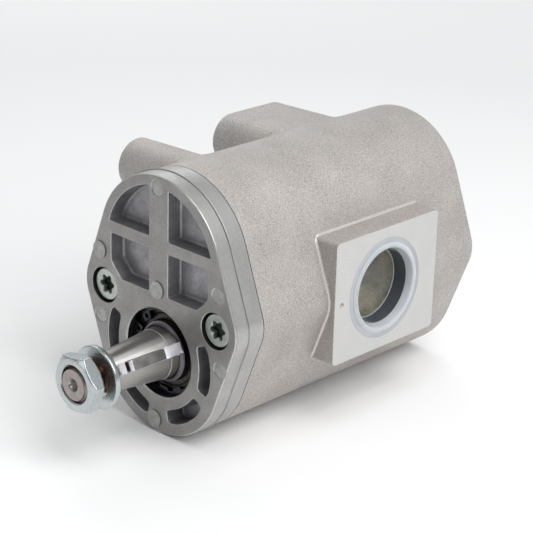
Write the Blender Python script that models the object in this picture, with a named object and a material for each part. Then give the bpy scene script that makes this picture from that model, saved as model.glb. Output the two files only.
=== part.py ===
"""Hydraulic gear pump with external gears, a blind-ended cast body and a tapered drive shaft.

Frame: metres, +Z up. The origin is on the front cover's mounting face, midway between its
two screws. The drive shaft points along -Y, the inlet pad faces +X and the outlet -X.
"""

import math

import bmesh
import bpy
from mathutils import Vector

# Clearances
GAP = 0.0003
RUNNING = 0.00015

# Gear set: two equal gears, one above the other
CENTRE_DISTANCE = 0.0375
HALF_CENTRES = CENTRE_DISTANCE / 2
TEETH = 12
MODULE = CENTRE_DISTANCE / TEETH
PRESSURE_ANGLE = math.radians(28)
ADDENDUM = 0.95 * MODULE
DEDENDUM = 1.20 * MODULE
BACKLASH = 0.0003
GEAR_START = 0.0600
GEAR_END = 0.0960
JOURNAL_RADIUS = 0.0120

# Outline shared by the cover and the body: the hull of two end circles and two side bumps
END_RADIUS = 0.03325
BUMP_RADIUS = 0.0150
BUMP_X = 0.0265

# Stations along the shaft
COVER_THICKNESS = 0.0143
SPIGOT_END = 0.0260
BODY_START = COVER_THICKNESS + GAP
BODY_END = 0.1390
CAVITY_END = 0.1243
REAR_BLOCK_END = CAVITY_END - GAP

# Figure-eight bore in the body and the pieces that fill it
CAVITY_RADIUS = 0.0220
FILLER_RADIUS = CAVITY_RADIUS - GAP

# Cover
COVER_EDGE = 0.0008
SEAL_BORE_RADIUS = 0.0178
SEAL_BORE_CHAMFER = 0.0006
SEAL_BORE_END = 0.0197
SHAFT_HOLE_RADIUS = 0.0124
RING_GROOVE_RADIUS = 0.0188
RING_GROOVE_START = 0.0032
RING_GROOVE_END = 0.0048
POCKET_DEPTH = 0.0060
POCKET_ARC_RADIUS = 0.0291
RIB_HALF_WIDTH = 0.0052
UPPER_POCKET_BOTTOM = 0.0275
LOWER_POCKET_TOP = 0.0227
LOWER_POCKET_BOTTOM = 0.0053
LOWER_POCKET_SIDE = 0.0266
LOWER_POCKET_CORNER = 0.0058
SLOT_DEPTH = 0.0080
SLOT_INNER = 0.0225
SLOT_OUTER = 0.0284
SLOT_ANGLES = ((-20, 24), (-78, -31), (156, 200), (211, 258))

# Screws that hold the cover
SCREW_X = 0.0305
SCREW_RADIUS = 0.0040
SCREW_END = 0.0360
HEAD_RADIUS = 0.0065
HEAD_FACE = 0.0012
HEAD_SEAT = 0.0088
COUNTERBORE_RADIUS = 0.0072
SOCKET_MEAN_RADIUS = 0.0033
SOCKET_LOBE = 0.0006
SOCKET_DEPTH = 0.0035
SOCKET_TURN = math.radians(4)

# Dowels
DOWEL_RADIUS = 0.0025
DOWEL_OFFSET = 0.0294
DOWEL_ANGLE = math.radians(60)
DOWEL_START = 0.0099
DOWEL_END = 0.0210

# Body casting
REAR_EDGE = 0.0025
INLET_PAD_X = 0.0443
INLET_PAD_Y = (0.0499, 0.1097)
INLET_PAD_HALF_HEIGHT = 0.0252
OUTLET_PAD_X = -0.0480
OUTLET_PAD_Y = (0.0570, 0.1010)
OUTLET_PAD_HALF_HEIGHT = 0.0200
PORT_Y = 0.0790
INLET_RADIUS = 0.0170
INLET_SPOT_RADIUS = 0.0207
OUTLET_SPOT_RADIUS = 0.0148
SPOT_DEPTH = 0.0009
OUTLET_RADIUS = 0.0090
OUTLET_THREAD_RADIUS = 0.0115
OUTLET_THREAD_DEPTH = 0.0160
PORT_BOTTOM_X = 0.0110
BOSS_Z = 0.0382
BOSS_RADIUS = 0.0103
BOSS_DRAFT = 0.024
BOSS_ROOT_X = -0.0100
FRONT_BOSS_Y = 0.0328
REAR_BOSS_Y = (0.0845, 0.1085)
BOSS_HOLE_RADIUS = 0.0050
BOSS_HOLE_DEPTH = 0.0180

# Seal between the cover and the body
O_RING_OFFSET = 0.0242
O_RING_RADIUS = 0.0010
O_RING_GROOVE = 0.0013
O_RING_GROOVE_DEPTH = 0.0025

# Bearing blocks, bushes and pressure seals
BUSH_INNER = JOURNAL_RADIUS + RUNNING
BUSH_OUTER = 0.0139
BLOCK_BORE = BUSH_OUTER + GAP
BLOCK_SIDE_CLEARANCE = 0.0002
PRESSURE_SEAL_INNER = 0.0164
PRESSURE_SEAL_OUTER = 0.0191
PRESSURE_SEAL_THICKNESS = 0.0020
PRESSURE_SEAL_ANGLES = (100, 276)

# Drive shaft nose
THREAD_RADIUS = 0.0070
THREAD_END = -0.0419
THREAD_RELIEF_RADIUS = 0.0063
TAPER_START = -0.0279
TAPER_END = -0.0021
TAPER_SMALL_RADIUS = 0.00745
TAPER_LARGE_RADIUS = 0.00985
NECK_RADIUS = 0.01005
NECK_END = 0.0009
CENTRE_HOLE_RADIUS = 0.0026
CENTRE_HOLE_DEPTH = 0.0045
KEY_ANGLE = math.radians(25.5)
KEY_WIDTH = 0.0040
KEY_START = -0.0210
KEY_END = -0.0050
KEY_SINK = 0.0022
KEY_STAND = 0.0013
KEYWAY_START = -0.0255
KEYWAY_END = 0.0026
KEYWAY_MOUTH_RADIUS = 0.0111

# Nut and washer on the shaft nose
NUT_ACROSS_FLATS = 0.0208
NUT_FRONT = -0.0416
NUT_BACK = -0.0358
NUT_TURN = math.radians(7.96)
NUT_CHAMFER = 0.0011
NUT_BORE = THREAD_RADIUS + GAP
PLAIN_WASHER = (0.0075, 0.0123, -0.0315, -0.0289)

# Lip seals and the ring that keeps them in
SEAL_LENGTH = 0.0070
OUTER_SEAL_START = 0.00505
INNER_SEAL_START = 0.01235
SEAL_CASE_RADIUS = SEAL_BORE_RADIUS - GAP
SEAL_LIP_RADIUS = JOURNAL_RADIUS + RUNNING
RING_OUTER = 0.0185
RING_INNER = 0.0162
RING_LUG_INNER = 0.0134
RING_LUG_SPAN = math.radians(16)
RING_HOLE_RADIUS = 0.0010
RING_OPENING = math.radians(146.5)
RING_OPENING_HALF = math.radians(7.5)
RING_TAB_INNER = 0.0148
RING_TAB_HALF = math.radians(8)
RING_TAB_ANGLES = (269, 297, 356, 384)

# Transit plugs
PLUG_PROUD = 0.0008
PLUG_FLANGE = PLUG_PROUD + SPOT_DEPTH - GAP
PLUG_WALL = 0.0011
PLUG_DEPTH = 0.0100

# Facets round a turned piece
FINE = 36
MEDIUM = 24
COARSE = 16


def clear_scene():
    for obj in list(bpy.data.objects):
        bpy.data.objects.remove(obj, do_unlink=True)


def finish(name, colour, roughness, metallic):
    material = bpy.data.materials.new(name)
    material.use_nodes = True
    shader = material.node_tree.nodes["Principled BSDF"]
    shader.inputs["Base Color"].default_value = (*colour, 1.0)
    shader.inputs["Roughness"].default_value = roughness
    shader.inputs["Metallic"].default_value = metallic
    return material


FINISHES = {
    "cast": finish("shot_blasted_casting", (0.46, 0.44, 0.42), 0.62, 0.7),
    "cover": finish("die_cast_cover", (0.40, 0.40, 0.40), 0.45, 0.8),
    "steel": finish("ground_steel", (0.42, 0.42, 0.43), 0.25, 1.0),
    "zinc": finish("zinc_plate", (0.70, 0.73, 0.74), 0.35, 0.9),
    "black_steel": finish("black_spring_steel", (0.04, 0.04, 0.045), 0.40, 0.6),
    "bronze": finish("bearing_bronze", (0.55, 0.38, 0.20), 0.40, 0.9),
    "aluminium": finish("machined_aluminium", (0.66, 0.66, 0.66), 0.35, 0.9),
    "rubber": finish("nitrile_rubber", (0.05, 0.03, 0.025), 0.70, 0.0),
    "plastic": finish("natural_polythene", (0.78, 0.83, 0.86), 0.35, 0.0),
}


# Shape tools

def polar(radius, angle, centre=(0.0, 0.0)):
    return (centre[0] + radius * math.cos(angle), centre[1] + radius * math.sin(angle))


def arc(radius, start, end, count, centre=(0.0, 0.0)):
    """Points on an arc from start to end, both included."""
    step = (end - start) / count
    return [polar(radius, start + step * i, centre) for i in range(count + 1)]


def circle(radius, count, centre=(0.0, 0.0)):
    return arc(radius, 0.0, math.tau, count, centre)[:-1]


def hull_outline(circles, counts):
    """Outline round circles ((x, z), radius) listed anticlockwise: their arcs and common tangents."""
    normals = []
    for (centre, radius), (following, next_radius) in zip(circles, circles[1:] + circles[:1]):
        dx = following[0] - centre[0]
        dz = following[1] - centre[1]
        lean = math.acos((radius - next_radius) / math.hypot(dx, dz))
        normals.append(math.atan2(dz, dx) - lean)
    points = []
    for i, (centre, radius) in enumerate(circles):
        start = normals[i - 1]
        sweep = (normals[i] - start) % math.tau
        points += arc(radius, start, start + sweep, counts[i], centre)
    return points


def pump_outline(inset=0.0):
    """The cover's and body's outline seen from the front, drawn in by inset."""
    circles = [
        ((0.0, -HALF_CENTRES), END_RADIUS - inset),
        ((BUMP_X, 0.0), BUMP_RADIUS - inset),
        ((0.0, HALF_CENTRES), END_RADIUS - inset),
        ((-BUMP_X, 0.0), BUMP_RADIUS - inset),
    ]
    return hull_outline(circles, (18, 6, 18, 6))


def figure_eight(radius, count=24):
    """Outline of two equal circles, one on each gear axis, joined where they cross."""
    crossing = math.acos(math.sqrt(radius**2 - HALF_CENTRES**2) / radius)
    upper = arc(radius, -crossing, math.pi + crossing, count, (0.0, HALF_CENTRES))
    lower = arc(radius, math.pi - crossing, math.tau + crossing, count, (0.0, -HALF_CENTRES))
    return upper[:-1] + lower[:-1]


def add_object(name, bm, material, location=(0.0, 0.0, 0.0)):
    bmesh.ops.recalc_face_normals(bm, faces=bm.faces)
    mesh = bpy.data.meshes.new(name)
    bm.to_mesh(mesh)
    bm.free()
    mesh.materials.append(FINISHES[material])
    mesh.shade_smooth()
    mesh.set_sharp_from_angle(angle=math.radians(30))
    obj = bpy.data.objects.new(name, mesh)
    obj.location = location
    bpy.context.scene.collection.objects.link(obj)
    return obj


def loft(name, sections, material, location=(0.0, 0.0, 0.0)):
    """Closed solid through outlines of equal length, each given with its station along Y."""
    bm = bmesh.new()
    rings = [[bm.verts.new((x, y, z)) for x, z in outline] for outline, y in sections]
    bm.faces.new(rings[0])
    bm.faces.new(rings[-1])
    for near, far in zip(rings, rings[1:]):
        for i in range(len(near)):
            bm.faces.new((near[i - 1], near[i], far[i], far[i - 1]))
    return add_object(name, bm, material, location)


def extrude(name, outline, start, end, material, location=(0.0, 0.0, 0.0)):
    return loft(name, [(outline, start), (outline, end)], material, location)


def turned(name, profile, segments, material, location=(0.0, 0.0, 0.0)):
    """Solid turned about the local Y axis from a closed profile of (radius, y)."""
    bm = bmesh.new()
    rings = []
    for radius, y in profile:
        if radius == 0.0:
            rings.append([bm.verts.new((0.0, y, 0.0))] * segments)
        else:
            rings.append([bm.verts.new((x, y, z)) for x, z in circle(radius, segments)])
    for near, far in zip(rings, rings[1:] + rings[:1]):
        for i in range(segments):
            corners = [near[i - 1], near[i], far[i], far[i - 1]]
            corners = [v for k, v in enumerate(corners) if v not in corners[:k]]
            if len(corners) > 2:
                bm.faces.new(corners)
    return add_object(name, bm, material, location)


def rod(name, radius, start, end, material, location=(0.0, 0.0, 0.0), segments=MEDIUM):
    profile = [(0.0, start), (radius, start), (radius, end), (0.0, end)]
    return turned(name, profile, segments, material, location)


def tube(name, inner, outer, start, end, material, location=(0.0, 0.0, 0.0), segments=MEDIUM):
    profile = [(inner, start), (outer, start), (outer, end), (inner, end)]
    return turned(name, profile, segments, material, location)


def box(name, low, high, material="steel"):
    bm = bmesh.new()
    bmesh.ops.create_cube(bm, size=1.0)
    for vert in bm.verts:
        vert.co = Vector((low[k] + (high[k] - low[k]) * (vert.co[k] + 0.5)) for k in range(3))
    return add_object(name, bm, material)


def towards_x(obj, sign):
    """Turn a piece made along Y so that it points along X, outwards at the given sign."""
    obj.rotation_euler = (0.0, 0.0, -sign * math.pi / 2)
    return obj


def combine(obj, tool, operation):
    modifier = obj.modifiers.new(tool.name, "BOOLEAN")
    modifier.operation = operation
    modifier.solver = "EXACT"
    modifier.object = tool
    tool.hide_render = True
    tool.display_type = "WIRE"


def cut(obj, *tools):
    for tool in tools:
        combine(obj, tool, "DIFFERENCE")


def add(obj, *tools):
    for tool in tools:
        combine(obj, tool, "UNION")


def rounded(outline, radius, count=3):
    """The outline, given anticlockwise, with each outward corner replaced by a short arc."""
    points = []
    for i, corner in enumerate(outline):
        here = Vector(corner)
        back = (Vector(outline[i - 1]) - here).normalized()
        ahead = (Vector(outline[(i + 1) % len(outline)]) - here).normalized()
        half = back.angle(ahead) / 2
        if half > math.radians(80):
            points.append(corner)
            continue
        reach = radius / math.tan(half)
        middle = here + (back + ahead).normalized() * (radius / math.sin(half))
        first = here + back * reach - middle
        last = here + ahead * reach - middle
        start = math.atan2(first.y, first.x)
        sweep = (math.atan2(last.y, last.x) - start) % math.tau
        points += arc(radius, start, start + sweep, count, (middle.x, middle.y))
    return points


# Sub-parts

DRIVE_AXIS = (0.0, 0.0, -HALF_CENTRES)
DRIVEN_AXIS = (0.0, 0.0, HALF_CENTRES)


def upper_pocket(side):
    """Quarter-round pocket beside the vertical rib, under the upper end of the cover."""
    centre = (0.0, HALF_CENTRES)
    low = math.asin((UPPER_POCKET_BOTTOM - HALF_CENTRES) / POCKET_ARC_RADIUS)
    high = math.acos(RIB_HALF_WIDTH / POCKET_ARC_RADIUS)
    outline = arc(POCKET_ARC_RADIUS, low, high, 9, centre)
    outline.append((RIB_HALF_WIDTH, UPPER_POCKET_BOTTOM))
    return [(side * x, z) for x, z in outline]


def lower_pocket(side):
    """Five-sided pocket between the ribs and the cover screw."""
    corner = LOWER_POCKET_CORNER
    outline = rounded([
        (RIB_HALF_WIDTH, LOWER_POCKET_BOTTOM),
        (LOWER_POCKET_SIDE - corner, LOWER_POCKET_BOTTOM),
        (LOWER_POCKET_SIDE, LOWER_POCKET_BOTTOM + corner),
        (LOWER_POCKET_SIDE, LOWER_POCKET_TOP),
        (RIB_HALF_WIDTH, LOWER_POCKET_TOP),
    ], 0.0008, 2)
    return [(side * x, z) for x, z in outline]


def arc_slot(start, end):
    """Curved slot round the drive axis, between two angles in degrees."""
    first = math.radians(start)
    last = math.radians(end)
    centre = (0.0, -HALF_CENTRES)
    outer = arc(SLOT_OUTER, first, last, 8, centre)
    inner = arc(SLOT_INNER, last, first, 8, centre)
    return outer + inner


def dowel_places():
    x, z = polar(DOWEL_OFFSET, DOWEL_ANGLE, (0.0, HALF_CENTRES))
    return {"upper": (x, 0.0, z), "lower": (-x, 0.0, -z)}


def front_cover():
    edge = COVER_EDGE
    cover = loft("front_cover", [
        (pump_outline(edge), 0.0),
        (pump_outline(0.3 * edge), 0.3 * edge),
        (pump_outline(), edge),
        (pump_outline(), COVER_THICKNESS),
    ], "cover")
    add(cover, extrude("spigot", figure_eight(FILLER_RADIUS), 0.013, SPIGOT_END, "cover"))
    chamfer = SEAL_BORE_CHAMFER
    bore_profile = [
        (0.0, -GAP),
        (SEAL_BORE_RADIUS + chamfer + GAP, -GAP),
        (SEAL_BORE_RADIUS, chamfer),
        (SEAL_BORE_RADIUS, RING_GROOVE_START),
        (RING_GROOVE_RADIUS, RING_GROOVE_START),
        (RING_GROOVE_RADIUS, RING_GROOVE_END),
        (SEAL_BORE_RADIUS, RING_GROOVE_END),
        (SEAL_BORE_RADIUS, SEAL_BORE_END),
        (SHAFT_HOLE_RADIUS, SEAL_BORE_END),
        (SHAFT_HOLE_RADIUS, SPIGOT_END + GAP),
        (0.0, SPIGOT_END + GAP),
    ]
    cut(cover, turned("seal_bore", bore_profile, FINE, "cover", DRIVE_AXIS))
    for side in (-1, 1):
        for level, outline in (("upper", upper_pocket(side)), ("lower", lower_pocket(side))):
            cut(cover, extrude(f"{level}_pocket_{side}", outline, -GAP, POCKET_DEPTH, "cover"))
        place = (side * SCREW_X, 0.0, 0.0)
        seat = HEAD_SEAT + GAP
        cut(cover, rod(f"counterbore_{side}", COUNTERBORE_RADIUS, -GAP, seat, "cover", place))
        hole = rod(f"screw_hole_{side}", SCREW_RADIUS + GAP, 0.005, 0.016, "cover", place, COARSE)
        cut(cover, hole)
    for start, end in SLOT_ANGLES:
        cut(cover, extrude(f"slot_{start}", arc_slot(start, end), -GAP, SLOT_DEPTH, "cover"))
    for name, place in dowel_places().items():
        radius = DOWEL_RADIUS + GAP
        start = DOWEL_START - GAP
        cut(cover, rod(f"cover_dowel_hole_{name}", radius, start, 0.016, "cover", place, COARSE))


def boss(name, stations):
    """Drafted boss pointing along -X, round or oblong, through the given stations along Y."""
    length = BOSS_ROOT_X - OUTLET_PAD_X
    centres = [((y, BOSS_Z), BOSS_RADIUS) for y in stations]

    def outline(grow):
        if len(centres) == 1:
            return circle(BOSS_RADIUS + grow, MEDIUM, centres[0][0])
        grown = [(centre, radius + grow) for centre, radius in centres]
        return hull_outline(grown, (14, 14))

    bm = bmesh.new()
    rings = []
    for x, grow in ((OUTLET_PAD_X, 0.0), (BOSS_ROOT_X, BOSS_DRAFT * length)):
        rings.append([bm.verts.new((x, y, z)) for y, z in outline(grow)])
        bm.faces.new(rings[-1])
    for i in range(len(rings[0])):
        bm.faces.new((rings[0][i - 1], rings[0][i], rings[1][i], rings[1][i - 1]))
    return add_object(name, bm, "cast")


def body_tapped_holes(body):
    for y in (FRONT_BOSS_Y, *REAR_BOSS_Y):
        place = (OUTLET_PAD_X, y, BOSS_Z)
        hole = rod(f"boss_hole_{y:.4f}", BOSS_HOLE_RADIUS, -BOSS_HOLE_DEPTH, GAP, "cast", place, COARSE)
        cut(body, towards_x(hole, -1))
    for side in (-1, 1):
        place = (side * SCREW_X, 0.0, 0.0)
        hole = rod(f"thread_{side}", SCREW_RADIUS + GAP, 0.014, 0.039, "cast", place, COARSE)
        cut(body, hole)
    for name, place in dowel_places().items():
        radius = DOWEL_RADIUS + GAP
        hole = rod(f"body_dowel_hole_{name}", radius, 0.014, DOWEL_END + GAP, "cast", place, COARSE)
        cut(body, hole)


def body_ports(body):
    inlet_profile = [
        (0.0, PORT_BOTTOM_X),
        (INLET_RADIUS, PORT_BOTTOM_X),
        (INLET_RADIUS, INLET_PAD_X - 0.0020),
        (INLET_RADIUS + 0.0008, INLET_PAD_X - 0.0012),
        (INLET_RADIUS + 0.0008, INLET_PAD_X - SPOT_DEPTH),
        (INLET_SPOT_RADIUS, INLET_PAD_X - SPOT_DEPTH),
        (INLET_SPOT_RADIUS, INLET_PAD_X + GAP),
        (0.0, INLET_PAD_X + GAP),
    ]
    inlet = turned("inlet_port", inlet_profile, FINE, "cast", (0.0, PORT_Y, 0.0))
    reach = -OUTLET_PAD_X
    outlet_profile = [
        (0.0, PORT_BOTTOM_X),
        (OUTLET_RADIUS, PORT_BOTTOM_X),
        (OUTLET_RADIUS, reach - OUTLET_THREAD_DEPTH),
        (OUTLET_THREAD_RADIUS, reach - OUTLET_THREAD_DEPTH),
        (OUTLET_THREAD_RADIUS, reach - 0.0020),
        (OUTLET_THREAD_RADIUS + 0.0008, reach - 0.0012),
        (OUTLET_THREAD_RADIUS + 0.0008, reach - SPOT_DEPTH),
        (OUTLET_SPOT_RADIUS, reach - SPOT_DEPTH),
        (OUTLET_SPOT_RADIUS, reach + GAP),
        (0.0, reach + GAP),
    ]
    outlet = turned("outlet_port", outlet_profile, MEDIUM, "cast", (0.0, PORT_Y, 0.0))
    cut(body, towards_x(inlet, 1), towards_x(outlet, -1))


def pump_body():
    edge = REAR_EDGE
    corner = edge * (1 - math.sqrt(0.5))
    body = loft("pump_body", [
        (pump_outline(), BODY_START),
        (pump_outline(), BODY_END - edge),
        (pump_outline(corner), BODY_END - corner),
        (pump_outline(edge), BODY_END),
    ], "cast")
    height = INLET_PAD_HALF_HEIGHT
    inlet_pad = box(
        "inlet_pad", (0.02, INLET_PAD_Y[0], -height), (INLET_PAD_X, INLET_PAD_Y[1], height)
    )
    height = OUTLET_PAD_HALF_HEIGHT
    outlet_pad = box(
        "outlet_pad", (OUTLET_PAD_X, OUTLET_PAD_Y[0], -height), (-0.02, OUTLET_PAD_Y[1], height)
    )
    add(body, inlet_pad, outlet_pad)
    add(body, boss("front_boss", [FRONT_BOSS_Y]), boss("rear_boss", list(REAR_BOSS_Y)))
    cut(body, extrude("cavity", figure_eight(CAVITY_RADIUS), 0.014, CAVITY_END, "cast"))
    ends = [((0.0, -HALF_CENTRES), O_RING_OFFSET), ((0.0, HALF_CENTRES), O_RING_OFFSET)]
    depth = BODY_START + O_RING_GROOVE_DEPTH
    outer = hull_outline([(c, r + O_RING_GROOVE) for c, r in ends], (12, 12))
    inner = hull_outline([(c, r - O_RING_GROOVE) for c, r in ends], (12, 12))
    groove = extrude("o_ring_groove", outer, 0.014, depth, "cast")
    cut(groove, extrude("o_ring_land", inner, 0.013, depth + 0.001, "cast"))
    cut(body, groove)
    body_ports(body)
    body_tapped_holes(body)


def involute_half_angle(radius):
    """Half the angle that a tooth spans at a radius, from its thickness on the pitch circle."""
    base = HALF_CENTRES * math.cos(PRESSURE_ANGLE)
    lean = math.acos(min(1.0, base / radius))
    pitch_half = (math.pi * MODULE / 2 - BACKLASH) / CENTRE_DISTANCE
    involute = math.tan(PRESSURE_ANGLE) - PRESSURE_ANGLE
    return pitch_half + involute - (math.tan(lean) - lean)


def gear_outline(first_tooth):
    """Spur gear outline with involute flanks, the first tooth centred at the given angle."""
    base = HALF_CENTRES * math.cos(PRESSURE_ANGLE)
    root = HALF_CENTRES - DEDENDUM
    tip = HALF_CENTRES + ADDENDUM
    radii = [base + (tip - base) * (k / 4) ** 1.3 for k in range(5)]
    points = []
    for tooth in range(TEETH):
        middle = first_tooth + math.tau * tooth / TEETH
        foot = involute_half_angle(base) + math.radians(1.0)
        points.append(polar(root, middle - foot))
        points += [polar(r, middle - involute_half_angle(r)) for r in radii]
        points += [polar(r, middle + involute_half_angle(r)) for r in reversed(radii)]
        points.append(polar(root, middle + foot))
    return points


def key_frame(along, radial, across):
    """Point on the shaft at a station, a height over the axis and an offset across the key."""
    outward = Vector((math.cos(KEY_ANGLE), 0.0, math.sin(KEY_ANGLE)))
    sideways = Vector((-math.sin(KEY_ANGLE), 0.0, math.cos(KEY_ANGLE)))
    return outward * radial + sideways * across + Vector((0.0, along, 0.0))


def key_prism(name, profile, width, material):
    """Solid of a side profile (y, height over the axis) as wide as the key or its slot."""
    bm = bmesh.new()
    sides = []
    for across in (-width / 2, width / 2):
        sides.append([bm.verts.new(key_frame(y, radial, across)) for y, radial in profile])
        bm.faces.new(sides[-1])
    for i in range(len(profile)):
        bm.faces.new((sides[0][i - 1], sides[0][i], sides[1][i], sides[1][i - 1]))
    return add_object(name, bm, material, DRIVE_AXIS)


def taper_radius(y):
    share = (y - TAPER_START) / (TAPER_END - TAPER_START)
    return TAPER_SMALL_RADIUS + (TAPER_LARGE_RADIUS - TAPER_SMALL_RADIUS) * share


def drive_shaft():
    """Tapered and threaded nose, seal collar, integral gear and rear journal in one forging."""
    hole = CENTRE_HOLE_RADIUS
    flare = JOURNAL_RADIUS - NECK_RADIUS
    rear_end = REAR_BLOCK_END - 0.0035
    profile = [
        (0.0, THREAD_END + CENTRE_HOLE_DEPTH),
        (hole, THREAD_END),
        (THREAD_RADIUS - 0.0008, THREAD_END),
        (THREAD_RADIUS, THREAD_END + 0.0008),
        (THREAD_RADIUS, TAPER_START - 0.0020),
        (THREAD_RELIEF_RADIUS, TAPER_START - 0.0014),
        (THREAD_RELIEF_RADIUS, TAPER_START),
        (TAPER_SMALL_RADIUS - 0.0004, TAPER_START),
        (taper_radius(TAPER_START + 0.0004), TAPER_START + 0.0004),
        (TAPER_LARGE_RADIUS, TAPER_END),
        (NECK_RADIUS, TAPER_END + 0.0003),
        (NECK_RADIUS, NECK_END),
        (NECK_RADIUS + 0.2 * flare, NECK_END + 0.6 * flare),
        (NECK_RADIUS + 0.6 * flare, NECK_END + 0.92 * flare),
        (JOURNAL_RADIUS, NECK_END + flare),
        (JOURNAL_RADIUS, rear_end - 0.0010),
        (JOURNAL_RADIUS - 0.0010, rear_end),
        (0.0, rear_end),
    ]
    shaft = turned("drive_shaft", profile, MEDIUM, "steel", DRIVE_AXIS)
    gear = extrude("drive_teeth", gear_outline(math.pi / 2), GEAR_START, GEAR_END, "steel", DRIVE_AXIS)
    add(shaft, gear)
    clearance = 0.0003
    top = 0.0135
    keyway_profile = [
        (KEYWAY_START, taper_radius(KEYWAY_START) + 0.0001),
        (KEY_START - clearance, taper_radius(KEY_START) - KEY_SINK - clearance),
        (KEY_END + clearance, taper_radius(KEY_END) - KEY_SINK - clearance),
        (KEYWAY_END, KEYWAY_MOUTH_RADIUS),
        (KEYWAY_END, top),
        (KEYWAY_START, top),
    ]
    cut(shaft, key_prism("keyway", keyway_profile, KEY_WIDTH + GAP, "steel"))


def shaft_key():
    chamfer = 0.0008
    key_profile = [
        (KEY_START, taper_radius(KEY_START) - KEY_SINK),
        (KEY_END, taper_radius(KEY_END) - KEY_SINK),
        (KEY_END, taper_radius(KEY_END) + KEY_STAND - chamfer),
        (KEY_END - chamfer, taper_radius(KEY_END) + KEY_STAND),
        (KEY_START + chamfer, taper_radius(KEY_START) + KEY_STAND),
        (KEY_START, taper_radius(KEY_START) + KEY_STAND - chamfer),
    ]
    key_prism("shaft_key", key_profile, KEY_WIDTH, "steel")


def driven_gear():
    """Idler gear with its two journals, in mesh above the drive gear."""
    front_end = SPIGOT_END + GAP + 0.0035
    rear_end = REAR_BLOCK_END - 0.0035
    chamfer = 0.0010
    profile = [
        (0.0, front_end),
        (JOURNAL_RADIUS - chamfer, front_end),
        (JOURNAL_RADIUS, front_end + chamfer),
        (JOURNAL_RADIUS, rear_end - chamfer),
        (JOURNAL_RADIUS - chamfer, rear_end),
        (0.0, rear_end),
    ]
    half_pitch = math.pi / TEETH
    gear = turned("driven_gear", profile, MEDIUM, "steel", DRIVEN_AXIS)
    outline = gear_outline(-math.pi / 2 + half_pitch)
    add(gear, extrude("driven_teeth", outline, GEAR_START, GEAR_END, "steel", DRIVEN_AXIS))


def seal_band(grow):
    """Half of the three-shaped seal: a band round the upper journal on the outlet side."""
    spread = math.radians(2) if grow else 0.0
    start = math.radians(PRESSURE_SEAL_ANGLES[0]) - spread
    end = math.radians(PRESSURE_SEAL_ANGLES[1]) + spread
    centre = (0.0, HALF_CENTRES)
    outer = arc(PRESSURE_SEAL_OUTER + grow, start, end, 10, centre)
    inner = arc(PRESSURE_SEAL_INNER - grow, end, start, 10, centre)
    return outer + inner


def pressure_seal(name, start, end, grow, material):
    """Three-shaped seal, or with grow the groove that holds it."""
    upper = seal_band(grow)
    lower = [(x, -z) for x, z in upper]
    seal = extrude(name, upper, start, end, material)
    add(seal, extrude(f"{name}_lower", lower, start, end, material))
    return seal


def bearing_set():
    """Two figure-eight blocks, each with a bush per journal and a seal on its outer face."""
    front = SPIGOT_END + GAP
    spans = {
        "front": (front, GEAR_START - BLOCK_SIDE_CLEARANCE),
        "rear": (GEAR_END + BLOCK_SIDE_CLEARANCE, REAR_BLOCK_END),
    }
    seal_places = {"front": front, "rear": REAR_BLOCK_END - PRESSURE_SEAL_THICKNESS}
    inset = 0.0030
    for end, (start, stop) in spans.items():
        block = extrude(f"{end}_bearing_block", figure_eight(FILLER_RADIUS), start, stop, "aluminium")
        groove_start = seal_places[end] - GAP
        groove_stop = seal_places[end] + PRESSURE_SEAL_THICKNESS + GAP
        cut(block, pressure_seal(f"{end}_seal_groove", groove_start, groove_stop, GAP, "aluminium"))
        seal_stop = seal_places[end] + PRESSURE_SEAL_THICKNESS
        pressure_seal(f"{end}_pressure_seal", seal_places[end], seal_stop, 0.0, "rubber")
        for name, axis in (("drive", DRIVE_AXIS), ("driven", DRIVEN_AXIS)):
            bore = rod(f"{end}_{name}_bore", BLOCK_BORE, start - GAP, stop + GAP, "aluminium", axis)
            cut(block, bore)
            low = start + (inset if end == "front" else GAP)
            high = stop - (inset if end == "rear" else GAP)
            tube(f"{end}_{name}_bush", BUSH_INNER, BUSH_OUTER, low, high, "bronze", axis)


def body_o_ring():
    """Round cord in an oval groove round the figure-eight bore."""
    ends = [((0.0, -HALF_CENTRES), O_RING_OFFSET), ((0.0, HALF_CENTRES), O_RING_OFFSET)]
    middle = BODY_START + O_RING_GROOVE_DEPTH - GAP - O_RING_RADIUS
    bm = bmesh.new()
    rings = []
    for offset, lift in circle(O_RING_RADIUS, 6):
        outline = hull_outline([(c, r + offset) for c, r in ends], (12, 12))
        rings.append([bm.verts.new((x, middle + lift, z)) for x, z in outline])
    for near, far in zip(rings, rings[1:] + rings[:1]):
        for i in range(len(near)):
            bm.faces.new((near[i - 1], near[i], far[i], far[i - 1]))
    add_object("body_o_ring", bm, "rubber")


def lip_seal(name, start):
    """Radial shaft seal: pressed steel case, rubber lip and garter spring."""
    case = SEAL_CASE_RADIUS
    end = start + SEAL_LENGTH
    wall = 0.0009
    case_profile = [
        (0.0145, start),
        (case, start),
        (case, end),
        (case - wall, end),
        (case - wall, start + wall),
        (0.0145, start + wall),
    ]
    turned(f"{name}_case", case_profile, MEDIUM, "steel", DRIVE_AXIS)
    lip_profile = [
        (0.0131, start + 0.0002),
        (0.0142, start + 0.0002),
        (0.0142, start + 0.0013),
        (0.0162, start + 0.0013),
        (0.0162, start + 0.0024),
        (0.0143, start + 0.0027),
        (0.0139, start + 0.0059),
        (0.0129, start + 0.0059),
        (SEAL_LIP_RADIUS, start + 0.0045),
        (0.0129, start + 0.0030),
    ]
    turned(f"{name}_lip", lip_profile, MEDIUM, "rubber", DRIVE_AXIS)
    spring_profile = [(0.01475 + x, start + 0.0047 + y) for x, y in circle(0.00055, 5)]
    turned(f"{name}_spring", spring_profile, MEDIUM, "steel", DRIVE_AXIS)


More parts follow.
